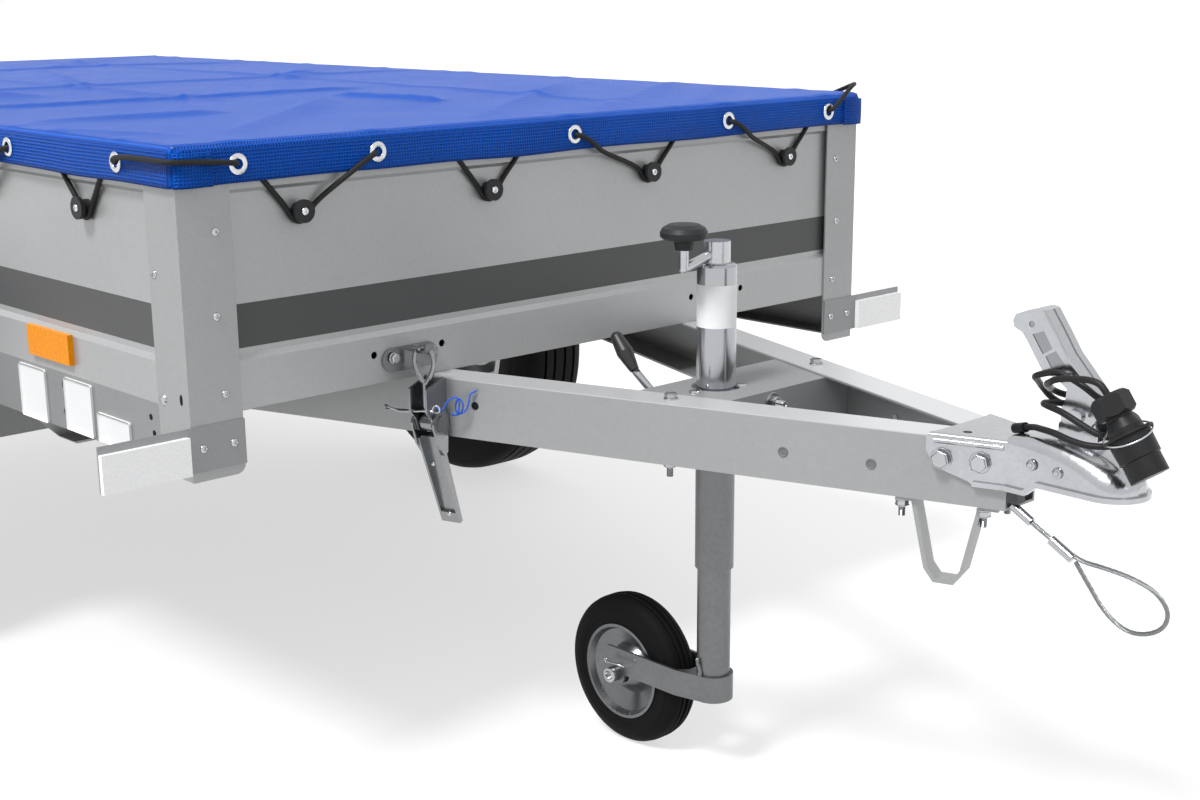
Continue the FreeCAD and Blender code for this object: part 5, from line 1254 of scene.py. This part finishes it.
def woven_ribs():
    """The fabric's ribs both ways under its coating, from the cloth's own pattern space, with painted rib
    shade.
    """
    group, given, result = effect_group("woven_ribs", [("Rib Scale", 80.0)], ["Height", "Cloud", "Rib Shade"])
    place = add_node(group, "TexCoord").outputs["UV"]
    ribs = [add_node(group, "TexWave", {"Vector": place, "Scale": given["Rib Scale"]}, bands_direction=way)
            for way in ("X", "Y")]
    height = maths(group, "MAXIMUM", *[rib.outputs["Fac"] for rib in ribs])
    cloud = add_node(group, "TexNoise", {"Vector": place, "Scale": 7.0, "Detail": 6.0})
    rib_shade = add_node(group, "MapRange", {"Value": height, "To Min": 0.55})
    group.links.new(height, result["Height"])
    group.links.new(cloud.outputs["Fac"], result["Cloud"])
    group.links.new(rib_shade.outputs["Result"], result["Rib Shade"])
    return group


def coated_fabric():
    finish, tree, shader = new_finish("cover_blue", Specular_IOR_Level=0.12)
    ribs = add_group(tree, woven_ribs(), Rib_Scale=80.0)
    smooth = blended(tree, ribs["Cloud"], paint(0, 79, 186), paint(2, 91, 202))
    # Darker between the ribs and lighter on them: painted shade and painted sheen
    colour = blended(tree, ribs["Rib Shade"], paint(0, 20, 70), smooth)
    finished(tree, shader, colour, ribs["Cloud"], 0.28, 0.38, ribs["Height"], 1.0, 0.0018)
    return finish


def corner_fold(side):
    """The cloth's folded corner on one side, tucked over the front skirt's end."""
    def tucked(u, w):
        drop = 0.009 + w * (skirt_depth - 0.008)
        crumple = 0.0008 * noise.noise(Vector((u * 5.0, drop * 80.0, 1.0)))
        puff = math.sin(math.pi * min(1.0, u * 1.2)) * 0.0020 + crumple
        back = max(0.0, cloth_bend - u * fold_width) ** 2 / (2.0 * cloth_bend)
        return (cloth_front + fold_out + 0.002 + puff - back,
                side * (cloth_half - 0.001 - u * fold_width), cloth_edge - drop)

    fold = bent_sheet("corner_folds", 12, 10, tucked)
    for loop in fold.data.loops:
        at = fold.data.vertices[loop.vertex_index].co
        fold.data.uv_layers[0].data[loop.index].uv = (at.z, at.y * 1.02)
    if side > 0.0:
        fold.data.flip_normals()
    thicken(fold, cloth_thickness)
    bpy.ops.object.shade_smooth()
    return fold


def below_rear_edge(u, w):
    """A point of the rear skirt, hung from the cover's rear edge."""
    y = (2.0 * w - 1.0) * cloth_half
    drop = u * skirt_depth
    return cloth_rear - skirt_bulge(y, drop, eyelet_front_y), y, cloth_edge - drop


cover_blue = coated_fabric()
tarp = finish_cloth(stretch_cloth("tarpaulin"))
fitted(tarp, cover_blue, "bed")
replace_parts(tarp, "cover")
fitted(merged(corner_fold(-1.0), corner_fold(1.0)), cover_blue, "bed")
rear_skirt = bent_sheet("cover_rear_skirt", 8, 120, below_rear_edge)
thicken(rear_skirt, cloth_thickness)
bpy.ops.object.shade_smooth()
fitted(rear_skirt, cover_blue, "bed")
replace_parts(rear_skirt, "cover_rear_flap")
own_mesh(rear_skirt)


# Eyelets, knobs and lacing
# Nickel plated eyelets pressed through the skirts, black knobs riveted to the walls, and a black
# rubber cord that is laced tight between them, round the box.
eyelet_outer_r = 0.0122
eyelet_inner_r = 0.0056
lace_d = 0.0066
knob_z = 0.727
knob_front_y = (-0.424, -0.14133, 0.14133, 0.424)
knob_side_x = [0.4276 - k * 0.268 for k in range(7)]
knob_neck = 0.0125
rail_face_x = 0.6382
lace_out_x = 0.6525
lace_out_y = 0.5955
eyelet_out = 0.0022
knob_tip = 0.6495
knob_tip_side = 0.5925
knob_rivet_r = 0.0046
eyelet_flatness = 0.45


def press_eyelet():
    """One eyelet: a rolled ring, flattened against the cloth."""
    bpy.ops.mesh.primitive_torus_add(major_radius=(eyelet_outer_r + eyelet_inner_r) / 2.0,
                                     minor_radius=(eyelet_outer_r - eyelet_inner_r) / 2.0,
                                     major_segments=32, minor_segments=10)
    ring = bpy.context.object
    for v in ring.data.vertices:
        v.co.z *= eyelet_flatness
    bpy.ops.object.shade_smooth()
    return ring


def round_box(front_x, front_y, side_y, side_x, z):
    """Places in the trailer's frame across the front and along both sides, that face away from it."""
    places = [facing((front_x, y, z), (1, 0, 0)) for y in front_y]
    for side in (-1.0, 1.0):
        places += [facing((x, side * side_y, z), (0, side, 0)) for x in side_x]
    return places


nickel = zinc_finish("nickel", (188, 190, 193), (226, 227, 229), 0.16, 0.3, metallic=1.0,
                     crystal=500.0, cloud=60.0)
eyelet_places = round_box(cloth_front + eyelet_out, eyelet_front_y, cloth_half + eyelet_out, eyelet_side_x,
                          eyelet_z)
fasten("eyelets", press_eyelet(), eyelet_places, "bed", nickel)
rear_places = [facing((cloth_rear - eyelet_out - 0.001, y, eyelet_z), (-1, 0, 0)) for y in eyelet_front_y]
rear_eyelets = fasten("rear_eyelets", press_eyelet(), rear_places, "bed", nickel)
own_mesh(rear_eyelets)


def lace_front(eye, knob, behind):
    """From an eyelet to a knob across the front: over the skirt, or down behind its hem."""
    way = math.copysign(1.0, knob - eye)
    if behind:
        hem = knob - way * 0.046
        return [(rail_face_x + 0.0005, hem - way * 0.012, 0.780), (rail_face_x + 0.001, hem, 0.764),
                (0.637, knob - way * 0.022, 0.738)]
    return [(0.6400, eye, 0.7865), (lace_out_x - 0.001, eye + way * 0.002, 0.787),
            (lace_out_x + 0.001, eye + way * 0.018, 0.781),
            (lace_out_x - 0.001, eye + way * 0.036, 0.770), (0.648, eye + way * 0.05, 0.760),
            (0.639, knob - way * 0.022, 0.736)]


def round_knob_front(knob):
    """The cord's turn under a knob's neck on the front wall."""
    turn_angles = [math.radians(205.0 + 130.0 * k / 6.0) for k in range(7)]
    return [(0.6378, knob + knob_neck * math.cos(a), knob_z + knob_neck * math.sin(a)) for a in turn_angles]


def front_to_side(points, side):
    """Turns a run that is written for the front wall so that it lies on a side wall."""
    return [(y, side * (x - cloth_front + cloth_half), z) for x, y, z in points]


def lace_v(left, knob, right, left_behind, right_behind):
    """One V of lacing, from the eyelet on its low side, under the knob, to the other eyelet."""
    down = lace_front(left, knob, left_behind)
    up = lace_front(right, knob, right_behind)[::-1]
    return down + round_knob_front(knob) + up


def lacing_runs():
    """All the runs of the lacing, as lists of points in the trailer's frame."""
    e = eyelet_front_y
    k = knob_front_y
    runs = [
        lace_v(e[0], k[0], e[1], True, False), lace_v(e[1], k[1], e[2], True, True),
        lace_v(e[2], k[2], e[3], False, True), lace_v(e[3], k[3], e[4], False, True),
    ]
    for side in (-1.0, 1.0):
        for j, knob in enumerate(knob_side_x):
            behind = j % 2 == 0
            run = lace_v(eyelet_side_x[j + 1], knob, eyelet_side_x[j], behind, behind)
            runs.append(front_to_side(run, side))
    near = [(0.5284, -0.583, 0.787), (0.5284, -lace_out_y, 0.787), (0.540, -lace_out_y - 0.003, 0.794),
            (0.575, -lace_out_y - 0.003, 0.796), (0.630, -lace_out_y - 0.002, 0.7955),
            (0.6515, -0.596, 0.795), (lace_out_x + 0.002, -0.570, 0.794),
            (lace_out_x + 0.002, -0.530, 0.791), (lace_out_x + 0.001, -0.508, 0.788), (0.640, -0.508, 0.787)]
    far = [(0.640, 0.510, 0.787), (lace_out_x, 0.510, 0.788), (lace_out_x + 0.004, 0.520, 0.797),
           (lace_out_x + 0.003, 0.540, 0.812), (0.652, 0.560, 0.823), (0.642, 0.580, 0.825),
           (0.620, 0.594, 0.820), (0.580, 0.5985, 0.806), (0.545, 0.5975, 0.793),
           (0.5284, 0.5965, 0.788), (0.5284, 0.583, 0.787)]
    return runs + [near, far]


def lay_lacing():
    """Each run is a smooth round cord. All are made one mesh."""
    made = [laid_curve(f"lace_{i}", run, lace_d) for i, run in enumerate(lacing_runs())]
    bpy.ops.object.select_all(action="DESELECT")
    for run in made:
        run.data.resolution_u = 5
        run.data.bevel_resolution = 3
        run.select_set(True)
    bpy.context.view_layer.objects.active = made[0]
    bpy.ops.object.convert(target="MESH")
    bpy.ops.object.join()
    made[0].name = "lacing"
    bpy.ops.object.shade_smooth()
    return made[0]


lace_rubber = moulded_finish("lace_rubber", (14, 14, 15), (28, 28, 30), 0.5, 0.7, 0.4, 1400.0)
fitted(lay_lacing(), lace_rubber, "bed")
dress(knob_black, "lacing_knobs")
knob_rivet_places = round_box(knob_tip, knob_front_y, knob_tip_side, knob_side_x, knob_z)
fasten("knob_rivets", domed_rivet(knob_rivet_r), knob_rivet_places, "bed", nickel)
